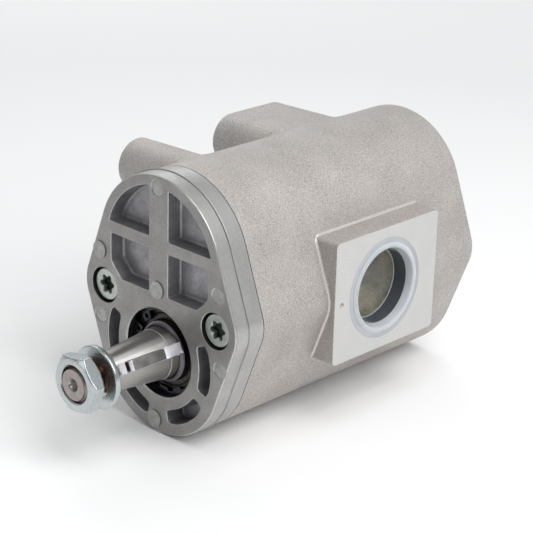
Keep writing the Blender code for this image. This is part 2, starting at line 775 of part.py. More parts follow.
def retaining_ring():
    """Internal circlip with two drilled lugs at its opening and short tabs opposite them."""
    first = RING_OPENING + RING_OPENING_HALF
    last = RING_OPENING - RING_OPENING_HALF + math.tau
    outline = arc(RING_OUTER, first, last, 24)
    outline += arc(RING_LUG_INNER, last, last - RING_LUG_SPAN, 2)
    reached = last - RING_LUG_SPAN * 1.1
    for degrees in reversed(RING_TAB_ANGLES):
        middle = math.radians(degrees)
        outline += arc(RING_INNER, reached, middle + RING_TAB_HALF * 1.1, 3)
        outline += arc(RING_TAB_INNER, middle + RING_TAB_HALF, middle - RING_TAB_HALF, 2)
        reached = middle - RING_TAB_HALF * 1.1
    outline += arc(RING_INNER, reached, first + RING_LUG_SPAN * 1.1, 6)
    outline += arc(RING_LUG_INNER, first + RING_LUG_SPAN, first, 2)
    start = RING_GROOVE_START + 0.00005
    end = RING_GROOVE_END - 0.00005
    ring = extrude("retaining_ring", outline, start, end, "black_steel", DRIVE_AXIS)
    for name, angle in (("first", first + RING_LUG_SPAN / 2), ("last", last - RING_LUG_SPAN / 2)):
        x, z = polar((RING_LUG_INNER + RING_INNER) / 2 + 0.0003, angle, (0.0, -HALF_CENTRES))
        place = (x, 0.0, z)
        cut(ring, rod(f"lug_hole_{name}", RING_HOLE_RADIUS, 0.002, 0.006, "steel", place, 12))


def shaft_nut():
    corner = NUT_ACROSS_FLATS / math.sqrt(3)
    outline = [polar(corner, NUT_TURN + k * math.pi / 3) for k in range(6)]
    nut = extrude("shaft_nut", outline, NUT_FRONT, NUT_BACK, "zinc", DRIVE_AXIS)
    flat = NUT_ACROSS_FLATS / 2 - 0.0004
    reach = corner + 0.0002
    chamfered = [
        (NUT_BORE, NUT_FRONT + 0.0006),
        (NUT_BORE + 0.0006, NUT_FRONT),
        (flat, NUT_FRONT),
        (reach, NUT_FRONT + NUT_CHAMFER),
        (reach, NUT_BACK - NUT_CHAMFER),
        (flat, NUT_BACK),
        (NUT_BORE, NUT_BACK),
    ]
    combine(nut, turned("nut_turning", chamfered, MEDIUM, "zinc", DRIVE_AXIS), "INTERSECT")


def plain_washer():
    inner, outer, start, end = PLAIN_WASHER
    edge = 0.0004
    profile = [
        (inner, start),
        (outer - edge, start),
        (outer, start + edge),
        (outer, end - edge),
        (outer - edge, end),
        (inner, end),
    ]
    turned("plain_washer", profile, MEDIUM, "zinc", DRIVE_AXIS)


def cover_screws():
    """Cheese-head screws with six-lobe sockets."""
    for name, side in (("left", -1), ("right", 1)):
        place = (side * SCREW_X, 0.0, 0.0)
        edge = 0.0005
        profile = [
            (0.0, HEAD_FACE),
            (HEAD_RADIUS - edge, HEAD_FACE),
            (HEAD_RADIUS, HEAD_FACE + edge),
            (HEAD_RADIUS, HEAD_SEAT),
            (SCREW_RADIUS, HEAD_SEAT),
            (SCREW_RADIUS, SCREW_END - 0.0010),
            (SCREW_RADIUS - 0.0010, SCREW_END),
            (0.0, SCREW_END),
        ]
        screw = turned(f"cover_screw_{name}", profile, MEDIUM, "zinc", place)
        angles = [math.tau * k / 30 for k in range(30)]
        radii = [SOCKET_MEAN_RADIUS + SOCKET_LOBE * math.cos(6 * a) for a in angles]
        lobes = [polar(radius, a + SOCKET_TURN) for radius, a in zip(radii, angles)]
        start = HEAD_FACE - GAP
        end = HEAD_FACE + SOCKET_DEPTH
        cut(screw, extrude(f"socket_{name}", lobes, start, end, "zinc", place))


def dowel_pins():
    for name, place in dowel_places().items():
        edge = 0.0005
        profile = [
            (0.0, DOWEL_START),
            (DOWEL_RADIUS - edge, DOWEL_START),
            (DOWEL_RADIUS, DOWEL_START + edge),
            (DOWEL_RADIUS, DOWEL_END - edge),
            (DOWEL_RADIUS - edge, DOWEL_END),
            (0.0, DOWEL_END),
        ]
        turned(f"dowel_pin_{name}", profile, COARSE, "steel", place)


def port_plug(name, flange_radius, flange_top, tube_radius, side, segments):
    """Flanged plastic cup pushed into a port to keep dirt out."""
    under = flange_top - PLUG_FLANGE
    bottom = flange_top - PLUG_DEPTH
    inner = tube_radius - PLUG_WALL
    edge = 0.0005
    profile = [
        (0.0, bottom),
        (tube_radius - edge, bottom),
        (tube_radius, bottom + edge),
        (tube_radius, under),
        (flange_radius, under),
        (flange_radius, flange_top - edge),
        (flange_radius - edge, flange_top),
        (inner + 0.0006, flange_top),
        (inner - 0.0003, flange_top - 0.0026),
        (inner - 0.0005, bottom + PLUG_WALL),
        (0.0, bottom + PLUG_WALL),
    ]
    plug = turned(name, profile, segments, "plastic", (0.0, PORT_Y, 0.0))
    return towards_x(plug, side)


def port_plugs():
    top = INLET_PAD_X + PLUG_PROUD
    port_plug("inlet_port_plug", INLET_SPOT_RADIUS - GAP, top, INLET_RADIUS - GAP, 1, FINE)
    top = PLUG_PROUD - OUTLET_PAD_X
    tube_radius = OUTLET_THREAD_RADIUS - GAP
    port_plug("outlet_port_plug", OUTLET_SPOT_RADIUS - GAP, top, tube_radius, -1, MEDIUM)


def gear_pump():
    clear_scene()
    front_cover()
    pump_body()
    drive_shaft()
    shaft_key()
    driven_gear()
    bearing_set()
    body_o_ring()
    lip_seal("outer_seal", OUTER_SEAL_START)
    lip_seal("inner_seal", INNER_SEAL_START)
    retaining_ring()
    shaft_nut()
    plain_washer()
    cover_screws()
    dowel_pins()
    port_plugs()


gear_pump()
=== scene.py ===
"""A hydraulic gear pump: the finished look of each of its pieces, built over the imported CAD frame.

Every piece is shaped in millimetres in the frame's own axes: the cover's mounting face is y = 0, the
drive shaft points along -Y and turns about z = -18.75, the idler turns about z = +18.75.
"""

import math

import bmesh
import bpy
import numpy as np
from mathutils import Matrix, Vector


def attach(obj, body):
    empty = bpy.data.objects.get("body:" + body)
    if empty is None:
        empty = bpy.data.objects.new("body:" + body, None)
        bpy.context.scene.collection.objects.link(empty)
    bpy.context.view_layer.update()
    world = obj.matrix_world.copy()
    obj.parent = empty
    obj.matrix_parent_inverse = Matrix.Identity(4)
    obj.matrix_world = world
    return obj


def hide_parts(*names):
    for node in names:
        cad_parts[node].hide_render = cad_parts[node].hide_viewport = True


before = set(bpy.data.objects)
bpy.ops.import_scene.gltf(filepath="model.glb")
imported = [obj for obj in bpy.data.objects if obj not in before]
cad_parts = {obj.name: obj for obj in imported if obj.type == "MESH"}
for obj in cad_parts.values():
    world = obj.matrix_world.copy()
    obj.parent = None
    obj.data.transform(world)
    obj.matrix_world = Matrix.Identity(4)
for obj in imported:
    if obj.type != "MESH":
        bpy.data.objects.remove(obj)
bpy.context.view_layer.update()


# Front cover: a die-cast aluminium plate that closes the body and carries the shaft seals.
# It is left as cast, with ribs between cored pockets, arc slots round the shaft and ejector marks.
# Its bore, screw seats and spigot are machined.

GEAR_AXIS = 18.75
DRIVE = (0.0, -GEAR_AXIS)
IDLER = (0.0, GEAR_AXIS)
END_RADIUS = 33.25
BUMP_X, BUMP_RADIUS = 26.5, 15.0
PUMP = [(*DRIVE, END_RADIUS), (BUMP_X, 0.0, BUMP_RADIUS), (*IDLER, END_RADIUS), (-BUMP_X, 0.0, BUMP_RADIUS)]
SCREW_X = 30.5


def circle(count, start=0.0):
    """Evenly spaced directions once round, as cosines and sines."""
    turn = start + 2.0 * np.pi * np.arange(count) / count
    return np.cos(turn), np.sin(turn)


def surface(name, *sheets):
    """A closed mesh from sheets of points in millimetres, each indexed by row, column and axis.

    Every four neighbouring points make a face, the columns run once round, and points that share a
    place are welded, which closes the seams and the poles.
    """
    points = np.concatenate([sheet.reshape(-1, 3) for sheet in sheets]) * 0.001
    quads = []
    start = 0
    for sheet in sheets:
        rows, columns = sheet.shape[:2]
        here = start + np.arange(rows * columns).reshape(rows, columns)
        beside = np.roll(here, -1, axis=1)
        quads.append(np.stack([here[:-1], beside[:-1], beside[1:], here[1:]], -1).reshape(-1, 4))
        start += rows * columns
    mesh = bpy.data.meshes.new(name)
    mesh.from_pydata(points.tolist(), [], np.concatenate(quads).tolist())
    bm = bmesh.new()
    bm.from_mesh(mesh)
    bmesh.ops.remove_doubles(bm, verts=bm.verts, dist=2e-7)
    bmesh.ops.recalc_face_normals(bm, faces=bm.faces)
    bm.to_mesh(mesh)
    bm.free()
    piece = bpy.data.objects.new(name, mesh)
    bpy.context.scene.collection.objects.link(piece)
    return piece


def hull(circles, count=180):
    """The tight outline round (x, z, radius) circles, as a function of how far it is drawn inwards.

    In each direction the point is the centre of the circle that reaches furthest that way, plus the
    direction times that circle's radius less the inset.
    """
    cos, sin = circle(count)
    circles = np.array(circles)
    reach = circles[:, :1] * cos + circles[:, 1:2] * sin + circles[:, 2:]
    x, z, radius = circles[reach.argmax(axis=0)].T
    return lambda inset: np.stack([x + (radius - inset) * cos, z + (radius - inset) * sin], -1)


def figure_eight(radius, count=120):
    """The outline of two equal circles about the gear axes, as a function of its inset.

    Each half is an arc that starts and stops where the circles cross, at z = 0.
    """
    def outline(inset):
        r = radius - inset
        past = math.acos(math.sqrt(r**2 - GEAR_AXIS**2) / r)
        turn = np.linspace(-past, math.pi + past, count // 2, endpoint=False)
        upper = np.stack([r * np.cos(turn), GEAR_AXIS + r * np.sin(turn)], -1)
        return np.concatenate([upper, -upper])
    return outline


def capped(rows):
    """A sheet whose first and last rows are closed on their middles."""
    ends = rows[[0, -1]].mean(axis=1, keepdims=True) + 0.0 * rows[[0, -1]]
    return np.concatenate([ends[:1], rows, ends[1:]])


def carried(outline, profile):
    """A closed sheet that carries an outline along Y through (y, inset) pairs."""
    return capped(np.array([np.insert(outline(inset), 1, y, axis=1) for y, inset in profile]))


def turned(profile, centre=(0.0, 0.0), count=120):
    """A sheet turned about an axis along Y through centre (x, z): one circle per (y, radius)."""
    cos, sin = circle(count)
    y, radius = np.array(profile, float).T[:, :, None]
    return np.stack([centre[0] + radius * cos, y + 0.0 * cos, centre[1] + radius * sin], -1)


def arc(y, across, radius, start, end, count=6):
    """Points of a profile on an arc about (y, across), its angles in degrees from the Y axis."""
    turn = np.radians(np.linspace(start, end, count))
    return list(zip(y + radius * np.cos(turn), across + radius * np.sin(turn)))


def shaped(piece, operation, *tools):
    """The piece after an exact Boolean with all the tools, which are used up."""
    group = bpy.data.collections.new("tools")
    for tool in tools:
        group.objects.link(tool)
    modifier = piece.modifiers.new("tools", "BOOLEAN")
    modifier.operation = operation
    modifier.solver = "EXACT"
    modifier.operand_type = "COLLECTION"
    modifier.collection = group
    graph = bpy.context.evaluated_depsgraph_get()
    result = bpy.data.meshes.new_from_object(piece.evaluated_get(graph), depsgraph=graph)
    piece.modifiers.clear()
    piece.data = result
    for tool in tools:
        bpy.data.objects.remove(tool)
    bpy.data.collections.remove(group)
    return piece


def shaded(piece, crease=32.0):
    """Smooth shading with creases over an angle in degrees, weighted so that flat faces stay flat."""
    piece.data.shade_smooth()
    piece.data.set_sharp_from_angle(angle=math.radians(crease))
    weighted = piece.modifiers.new("flat faces stay flat", "WEIGHTED_NORMAL")
    weighted.keep_sharp = True
    weighted.weight = 80
    return piece


def put(tree, kind, values=(), **options):
    """One shader node, its inputs filled from (socket, constant or output socket) pairs."""
    node = tree.nodes.new(kind)
    for option, value in options.items():
        setattr(node, option, value)
    for socket, value in values:
        if isinstance(value, bpy.types.NodeSocket):
            tree.links.new(value, node.inputs[socket])
        else:
            node.inputs[socket].default_value = value
    return node


def maths(tree, operation, *values, **options):
    """The result of a Math node on these constants or sockets."""
    return put(tree, "ShaderNodeMath", enumerate(values), operation=operation, **options).outputs[0]


def spread(tree, value, start, end, low, high):
    """A value mapped from start..end to low..high, and kept inside it."""
    limits = zip(("Value", "From Min", "From Max", "To Min", "To Max"), (value, start, end, low, high))
    return put(tree, "ShaderNodeMapRange", limits).outputs[0]


def mixed(tree, share, none, full):
    """A colour between two, by a share."""
    return put(tree, "ShaderNodeMix", [(0, share), (6, none), (7, full)], data_type="RGBA").outputs[2]


FLOAT, COLOR, VECTOR = "NodeSocketFloat", "NodeSocketColor", "NodeSocketVector"


def node_group(name, inputs, outputs):
    """A new group with named (name, kind, default) inputs and named (name, kind) outputs."""
    tree = bpy.data.node_groups.new(name, "ShaderNodeTree")
    for label, kind, default in inputs:
        tree.interface.new_socket(label, in_out="INPUT", socket_type=kind).default_value = default
    for label, kind in outputs:
        tree.interface.new_socket(label, in_out="OUTPUT", socket_type=kind)
    return tree, put(tree, "NodeGroupInput").outputs, put(tree, "NodeGroupOutput").inputs


def cast_skin_group():
    """Cast skin: fine grains over broad blotches, as colour, roughness and relief.

    The colour mixes dark to light by grain and blotch noise; the relief is the grain noise with the
    small dents that blasting leaves.
    """
    tree, given, result = node_group("cast skin", [
        ("Light", COLOR, (0.6, 0.6, 0.6, 1.0)),
        ("Dark", COLOR, (0.3, 0.3, 0.3, 1.0)),
        ("Grain Size", FLOAT, 0.0005),
        ("Grain Contrast", FLOAT, 1.0),
        ("Blotch Size", FLOAT, 0.012),
        ("Blotch Contrast", FLOAT, 0.5),
        ("Depth", FLOAT, 0.0001),
        ("Base Roughness", FLOAT, 0.5),
    ], [("Color", COLOR), ("Roughness", FLOAT), ("Normal", VECTOR)])
    place = put(tree, "ShaderNodeTexCoord").outputs["Object"]
    grain_scale = maths(tree, "DIVIDE", 1.0, given["Grain Size"])
    blotch_scale = maths(tree, "DIVIDE", 1.0, given["Blotch Size"])
    grain = put(tree, "ShaderNodeTexNoise", [
        ("Vector", place), ("Scale", grain_scale), ("Detail", 3.0), ("Roughness", 0.65),
    ]).outputs[0]
    blotch = put(tree, "ShaderNodeTexNoise", [
        ("Vector", place), ("Scale", blotch_scale), ("Detail", 5.0), ("Roughness", 0.6),
    ]).outputs[0]
    dents = put(tree, "ShaderNodeTexVoronoi", [
        ("Vector", place), ("Scale", grain_scale), ("Smoothness", 0.7),
    ], feature="SMOOTH_F1").outputs["Distance"]
    grain_off, blotch_off = (maths(tree, "SUBTRACT", noise, 0.5) for noise in (grain, blotch))
    grain_share = maths(tree, "MULTIPLY_ADD", grain_off, given["Grain Contrast"], 0.5)
    share = maths(tree, "MULTIPLY_ADD", blotch_off, given["Blotch Contrast"], grain_share, use_clamp=True)
    relative = spread(tree, share, 0.0, 1.0, 1.25, 0.8)
    bump = put(tree, "ShaderNodeBump", [
        ("Height", maths(tree, "MULTIPLY_ADD", dents, 0.6, grain)), ("Distance", given["Depth"]),
        ("Strength", 1.0),
    ]).outputs[0]
    tree.links.new(mixed(tree, share, given["Dark"], given["Light"]), result["Color"])
    tree.links.new(maths(tree, "MULTIPLY", relative, given["Base Roughness"]), result["Roughness"])
    tree.links.new(bump, result["Normal"])
    return tree


def finish(name, **constants):
    """A material with constants on its Principled shader, and its tree and that shader."""
    material = bpy.data.materials.new(name)
    material.use_nodes = True
    tree = material.node_tree
    shader = tree.nodes["Principled BSDF"]
    for socket, value in constants.items():
        shader.inputs[socket.replace("_", " ")].default_value = value
    return material, tree, shader


def use_group(tree, group, **values):
    """A group's node in a tree, its named inputs filled with constants or sockets."""
    node = put(tree, "ShaderNodeGroup", node_tree=group)
    for label, value in values.items():
        socket = node.inputs[label.replace("_", " ")]
        if isinstance(value, bpy.types.NodeSocket):
            tree.links.new(value, socket)
        else:
            socket.default_value = value
    return node


def join_up(tree, shader, **sockets):
    """Links outputs to the shader's named inputs."""
    for socket, value in sockets.items():
        tree.links.new(value, shader.inputs[socket.replace("_", " ")])


cast_skin = cast_skin_group()


def cast_material(
    name, light, dark, rough, metallic, grain=0.0006, contrast=0.7, blotch=0.004, blotch_contrast=1.2,
    depth=0.00001, **constants,
):
    """A finish from the shared cast skin: two tones, polish, metal share, then grains and blotches."""
    material, tree, shader = finish(name, Metallic=metallic, **constants)
    skin = use_group(
        tree, cast_skin, Light=(*light, 1.0), Dark=(*dark, 1.0), Base_Roughness=rough, Grain_Size=grain,
        Grain_Contrast=contrast, Blotch_Size=blotch, Blotch_Contrast=blotch_contrast, Depth=depth,
    )
    join_up(
        tree, shader, Base_Color=skin.outputs["Color"], Roughness=skin.outputs["Roughness"],
        Normal=skin.outputs["Normal"],
    )
    return material


die_cast = cast_material(
    "die_cast_skin", (0.435, 0.425, 0.415), (0.185, 0.18, 0.175), 0.42, 0.85,
    grain=0.0007, contrast=0.9, blotch=0.009, blotch_contrast=0.8, depth=0.00005,
)
# Lighter tone for the cover's sides: painted light where the key lamp falls on them.
side_painted_lighter = cast_material(
    "die_cast_side_painted_lighter", (0.53, 0.525, 0.515), (0.33, 0.325, 0.32), 0.40, 0.75,
    grain=0.0009, blotch=0.008, blotch_contrast=0.8, depth=0.00004,
)
cored_skin = cast_material(
    "die_cast_core_skin", (0.42, 0.415, 0.435), (0.20, 0.195, 0.21), 0.38, 0.7,
    grain=0.0009, depth=0.00005,
)
# Lighter edges: a little wear, and mostly a painted highlight on rims, chamfers and pocket mouths.
edge_wear_and_highlight = cast_material(
    "edge_wear_and_painted_highlight", (0.66, 0.66, 0.65), (0.40, 0.40, 0.395), 0.34, 0.85,
    grain=0.0012, contrast=0.6, blotch=0.003, blotch_contrast=1.4, depth=0.00002,
)
pin_mark = cast_material(
    "ejector_pin_mark", (0.52, 0.515, 0.505), (0.26, 0.26, 0.255), 0.45, 0.75,
    grain=0.0008, contrast=0.8, blotch=0.003, depth=0.00004,
)
# Dark machined aluminium for the seal bore's wall: painted shade inside the bore.
shadowed_bore = cast_material(
    "machined_bore_painted_shade", (0.10, 0.10, 0.105), (0.035, 0.035, 0.04), 0.35, 0.9,
)
# Near black: the hidden joint faces, and painted shade in the gap round each screw head.
joint_and_painted_gap_shade = cast_material(
    "joint_face_and_painted_gap_shade", (0.022, 0.026, 0.022), (0.008, 0.010, 0.008), 0.45, 0.2,
)

cover = surface("front_cover_casting", carried(hull(PUMP), [
    *arc(0.7, 0.7, 0.7, 180, 270, 6),
    (3.5, -0.08),
    (6.3, -0.16),
    (6.6, -0.55),
    (7.0, -0.60),
    (7.25, 0.12),
    (7.6, 0.16),
    (11.0, 0.06),
    (14.3, 0.0),
]))
spigot = surface("spigot", carried(figure_eight(21.7), [(13.0, 0.0), (25.5, 0.0), (26.0, 0.5)]))
shaped(cover, "UNION", spigot)


def recess(depth, mouth=0.3, draft=0.45, fillet=1.0):
    """Profile (y, inset) of a cored recess: a mouth rounded over, a drafted wall, a filleted floor.

    The mouth's arc goes on as a slant above the face, so that it meets the face almost flat.
    """
    lean = np.radians([74, 50, 25, 8])
    lip = list(zip(mouth - mouth * np.sin(lean), mouth * np.cos(lean) - mouth))
    outside = (lip[0][0] - 0.5 * math.cos(lean[0]), lip[0][1] - 0.5 * math.sin(lean[0]))
    floor = arc(depth - fillet, draft + fillet, fillet, 270, 360, 6)
    return [(-1.5, outside[1]), outside, *lip, (mouth, 0.0), *floor]


def walled(centre, lines, discs=(), power=36, count=144):
    """A rounded outline inside some lines (nx, nz, distance) and discs (x, z, radius), by its inset.

    Along each direction from the centre, the distances to the boundaries are joined by a power mean
    that leans to the smallest, so that corners come out round.
    """
    cos, sin = circle(count)
    centre = np.array(centre)

    def outline(inset):
        reach = []
        for nx, nz, distance in lines:
            left = distance - inset - (nx * centre[0] + nz * centre[1])
            towards = np.maximum(nx * cos + nz * sin, 1e-6)
            reach.append(left / towards)
        for x, z, radius in discs:
            dx, dz = centre[0] - x, centre[1] - z
            along = dx * cos + dz * sin
            room = (radius - inset) ** 2 - dx**2 - dz**2
            reach.append(np.sqrt(along**2 + room) - along)
        length = (np.array(reach) ** -float(power)).sum(axis=0) ** (-1.0 / power)
        return np.stack([centre[0] + length * cos, centre[1] + length * sin], -1)
    return outline


def bent_slot(first, last, inner=22.5, outer=28.4, power=5, count=96):
    """An arc slot about the drive axis between two angles in degrees, by its inset.

    It is a rounded rectangle in the slot's own width and length, bent round the axis.
    """
    cos, sin = circle(count)
    middle = (inner + outer) / 2.0
    half = math.radians(last - first) / 2.0 * middle

    def outline(inset):
        corner = (np.abs(cos) ** power + np.abs(sin) ** power) ** (-1.0 / power)
        radius = middle + ((outer - inner) / 2.0 - inset) * cos * corner
        turn = math.radians((first + last) / 2.0) + (half - inset) * sin * corner / middle
        return np.stack([radius * np.cos(turn), -GEAR_AXIS + radius * np.sin(turn)], -1)
    return outline


cutters = []
diagonal = math.sqrt(0.5)
for side in (-1.0, 1.0):
    upper = walled(
        (side * 13.5, 35.0), [(-side, 0.0, -5.2), (0.0, -1.0, -27.5)], [(*IDLER, 29.1)]
    )
    lower = walled((side * 14.0, 14.5), [
        (-side, 0.0, -5.2), (side, 0.0, 26.6), (0.0, 1.0, 22.7), (0.0, -1.0, -5.3),
        (side * diagonal, -diagonal, (26.6 - 5.3 - 5.8) * diagonal),
    ])
    cutters.append(surface("upper_pocket", carried(upper, recess(6.0))))
    cutters.append(surface("lower_pocket", carried(lower, recess(6.0))))
    cutters.append(surface("screw_seat", turned([
        (-1.0, 0.0), (-1.0, 7.4), (0.0, 7.4), (0.2, 7.2), (9.1, 7.2), (9.1, 4.3), (16.0, 4.3), (16.0, 0.0),
    ], (side * SCREW_X, 0.0), 96)))
for first, last in ((-20, 24), (-78, -31), (156, 200), (211, 258)):
    cutters.append(surface("arc_slot", carried(bent_slot(first, last), recess(8.0, fillet=0.8))))
ejector_marks = (
    (-0.8, 47.3), (-33.0, 14.1), (31.9, 14.2), (-0.6, 7.0), (-32.8, -13.0), (-1.5, -46.7), (33.6, -14.7),
)
for x, z in ejector_marks:
    cutters.append(surface("ejector_mark", turned([
        (-0.5, 0.0), (-0.5, 3.5), (-0.02, 3.5), (0.26, 3.2), (0.26, 3.0), (0.12, 2.75), (0.12, 0.0),
    ], (x, z), 40)))
cutters.append(surface("seal_bore", turned([
    (-1.0, 0.0), (-1.0, 18.45), (0.05, 18.45), (0.6, 17.8), (3.2, 17.8), (3.2, 18.8), (4.8, 18.8),
    (4.8, 17.8), (19.7, 17.8), (19.7, 12.4), (30.0, 12.4), (30.0, 0.0),
], DRIVE, 180)))
shaped(cover, "DIFFERENCE", *cutters)


def faces(piece):
    """Each face's centre in millimetres and its normal, both as rows of x, y and z."""
    centre, normal = np.zeros((2, len(piece.data.polygons) * 3))
    piece.data.polygons.foreach_get("center", centre)
    piece.data.polygons.foreach_get("normal", normal)
    return centre.reshape(-1, 3).T * 1000.0, normal.reshape(-1, 3).T


def between(values, low, high):
    """Where the values lie between two limits."""
    return (values > low) & (values < high)


def finishes(piece, *materials):
    """Gives a piece these materials, the first of them on every face."""
    piece.data.materials.clear()
    for material in materials:
        piece.data.materials.append(material)
    piece.data.polygons.foreach_set("material_index", np.zeros(len(piece.data.polygons), np.int32))


def give(piece, material, chosen):
    """Puts one of the piece's materials on the chosen faces."""
    slots = np.zeros(len(chosen), np.int32)
    piece.data.polygons.foreach_get("material_index", slots)
    slots[chosen] = piece.data.materials.find(material.name)
    piece.data.polygons.foreach_set("material_index", slots)


finishes(cover, die_cast, pin_mark, shadowed_bore, joint_and_painted_gap_shade, cored_skin, edge_wear_and_highlight, side_painted_lighter)
(x, y, z), normal = faces(cover)
along = np.abs(normal[1])
from_drive = np.hypot(x, z + GEAR_AXIS)
from_idler = np.hypot(x, z - GEAR_AXIS)
from_gears = np.minimum(from_drive, from_idler)
# The cover's sides get the lighter tone, as painted light.
give(cover, side_painted_lighter, between(y, 0.7, 14.25) & (along < 0.6))
# Outer front edge: painted highlight.
give(cover, edge_wear_and_highlight, (y < 0.72) & between(along, 0.25, 0.97) & (from_gears > 30.0))
in_pocket = between(np.abs(x), 5.1, 26.8) & (z > 5.2) & (from_idler < 29.3)
give(cover, cored_skin, between(y, 0.2, 8.1) & (in_pocket | between(from_drive, 22.3, 28.6)))
# Mouths of pockets and arc slots: painted highlight.
give(cover, edge_wear_and_highlight, between(y, 0.002, 0.29) & between(along, 0.2, 0.97) & (from_gears < 30.0))
for mark_x, mark_z in ejector_marks:
    give(cover, pin_mark, (np.hypot(x - mark_x, z - mark_z) < 2.9) & (y < 0.3))
from_screw = np.hypot(np.abs(x) - SCREW_X, z)
# The screw seats' walls are painted near black, as painted shade in the gap round each head.
give(cover, joint_and_painted_gap_shade, (from_screw < 7.25) & (y > 0.25))
# Screw seat rims and the bore's chamfer: painted highlight.
give(cover, edge_wear_and_highlight, (from_screw < 7.45) & between(y, 0.01, 0.21))
give(cover, edge_wear_and_highlight, (from_drive < 18.5) & between(y, 0.01, 0.62))
# The bore's wall past its chamfer is painted dark, as painted shade.
give(cover, shadowed_bore, (from_drive < 18.9) & (y > 0.7))
give(cover, joint_and_painted_gap_shade, y > 14.29)
shaded(cover)
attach(cover, "housing")
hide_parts("front_cover")


# Pump body: a blind-ended aluminium casting, shot-blasted all over, with the gear bore inside.
# Two port pads and two bosses for a pipe bracket are cast on; their faces, the ports and the tapped
# holes are machined after blasting.

PORT_Y = 79.0
HOLES_Y = (32.8, 84.5, 108.5)
HOLES_Z = 38.2


def side_reach(z):
    """How far the body's outline reaches along X at a height: bump, tangent plane, end circle."""
    high = np.abs(z)
    lean = math.acos((END_RADIUS - BUMP_RADIUS) / math.hypot(BUMP_X, GEAR_AXIS))
    lean -= math.atan2(GEAR_AXIS, BUMP_X)
    flat = (BUMP_X * math.cos(lean) + BUMP_RADIUS - high * math.sin(lean)) / math.cos(lean)
    bump = BUMP_X + np.sqrt(np.maximum(BUMP_RADIUS**2 - high**2, 0.0))
    end = np.sqrt(np.maximum(END_RADIUS**2 - (high - GEAR_AXIS) ** 2, 0.0))
    low, top = BUMP_RADIUS * math.sin(lean), GEAR_AXIS + END_RADIUS * math.sin(lean)
    return np.where(high < low, bump, np.where(high < top, flat, end))


def standing(outline, face_x, fillet, draft, edge, sink):
    """A sheet for a pad or boss whose foot flares onto the body's side.

    The outline is its (y, z) points and their outward directions. From the face the rows go over a
    rounded edge and down a drafted wall, then out along a quarter circle that lands on the body's
    side, and close inside the body at x = sink.
    """
    points, outward = outline
    side, face = math.copysign(1.0, face_x), abs(face_x)
    height = face - (side_reach(points[:, 1]) + fillet)
    level = 0.0 * height
    levels = [
        (face + level, level - edge),
        (face - 0.3 * edge + level, level - 0.3 * edge),
        (face - edge + level, level),
    ]
    for share in (0.25, 0.5, 0.75, 1.0):
        levels.append((face - edge - share * (height - edge), draft * share * height))
    for a in np.radians([15, 30, 45, 60, 75, 86]):
        out = draft * height + fillet * (1.0 - math.cos(a))
        levels.append((side_reach(points[:, 1] + out * outward[:, 1]) + fillet * (1.0 - math.sin(a)), out))
    out = draft * height + fillet * 1.15
    levels.append((side_reach(points[:, 1] + out * outward[:, 1]) - 0.15, out))
    levels.append((sink + level, draft * height))
    return capped(np.array([
        np.stack([side * x, points[:, 0] + out * outward[:, 0], points[:, 1] + out * outward[:, 1]], -1)
        for x, out in levels
    ]))


def soft_rectangle(y_range, half_height, radius, per_side=14, per_corner=8):
    """Points of a rounded rectangle in (y, z), and the outward direction at each."""
    middle, half = sum(y_range) / 2.0, (y_range[1] - y_range[0]) / 2.0
    corners = np.array([(1, 1), (-1, 1), (-1, -1), (1, -1)]) * (half - radius, half_height - radius)
    points, outward = [], []
    for k in range(4):
        a = np.linspace(0.0, math.pi / 2, per_corner) + k * math.pi / 2
        way = np.stack([np.cos(a), np.sin(a)], -1)
        points.append(corners[k] + radius * way)
        outward.append(way)
        ahead = corners[(k + 1) % 4] + radius * way[-1]
        share = np.linspace(0.0, 1.0, per_side + 2)[1:-1, None]
        points.append(points[-1][-1] + share * (ahead - points[-1][-1]))
        outward.append(np.repeat(way[-1:], per_side, axis=0))
    return np.concatenate(points) + (middle, 0.0), np.concatenate(outward)


def obround(stations, z, radius, count=96):
    """Points of a circle, or of two joined by their tangents, in (y, z), and the outward directions."""
    cos, sin = circle(count, math.pi / count)
    centre = np.where(cos > 0.0, max(stations), min(stations))
    return np.stack([centre + radius * cos, z + radius * sin], -1), np.stack([cos, sin], -1)


def thread_ridge(y, around, start, end, pitch):
    """How high a screw thread's ridge stands, from 0 to 1.

    It is a blunted triangle wave of y / pitch plus the share of a turn, and it fades out over the
    first and the last 0.6 pitch.
    """
    phase = (y / pitch + around) % 1.0
    wave = np.clip(1.35 * (1.0 - 2.0 * np.abs(phase - 0.5)) - 0.12, 0.0, 1.0)
    return wave * np.clip(np.minimum(y - start, end - y) / (0.6 * pitch), 0.0, 1.0)


def towards_x(sheet, side, y, z=0.0):
    """A sheet made about the Y axis, turned to point outwards along X at (y, z)."""
    return np.stack([side * sheet[..., 1], y + side * sheet[..., 0], z + sheet[..., 2]], -1)


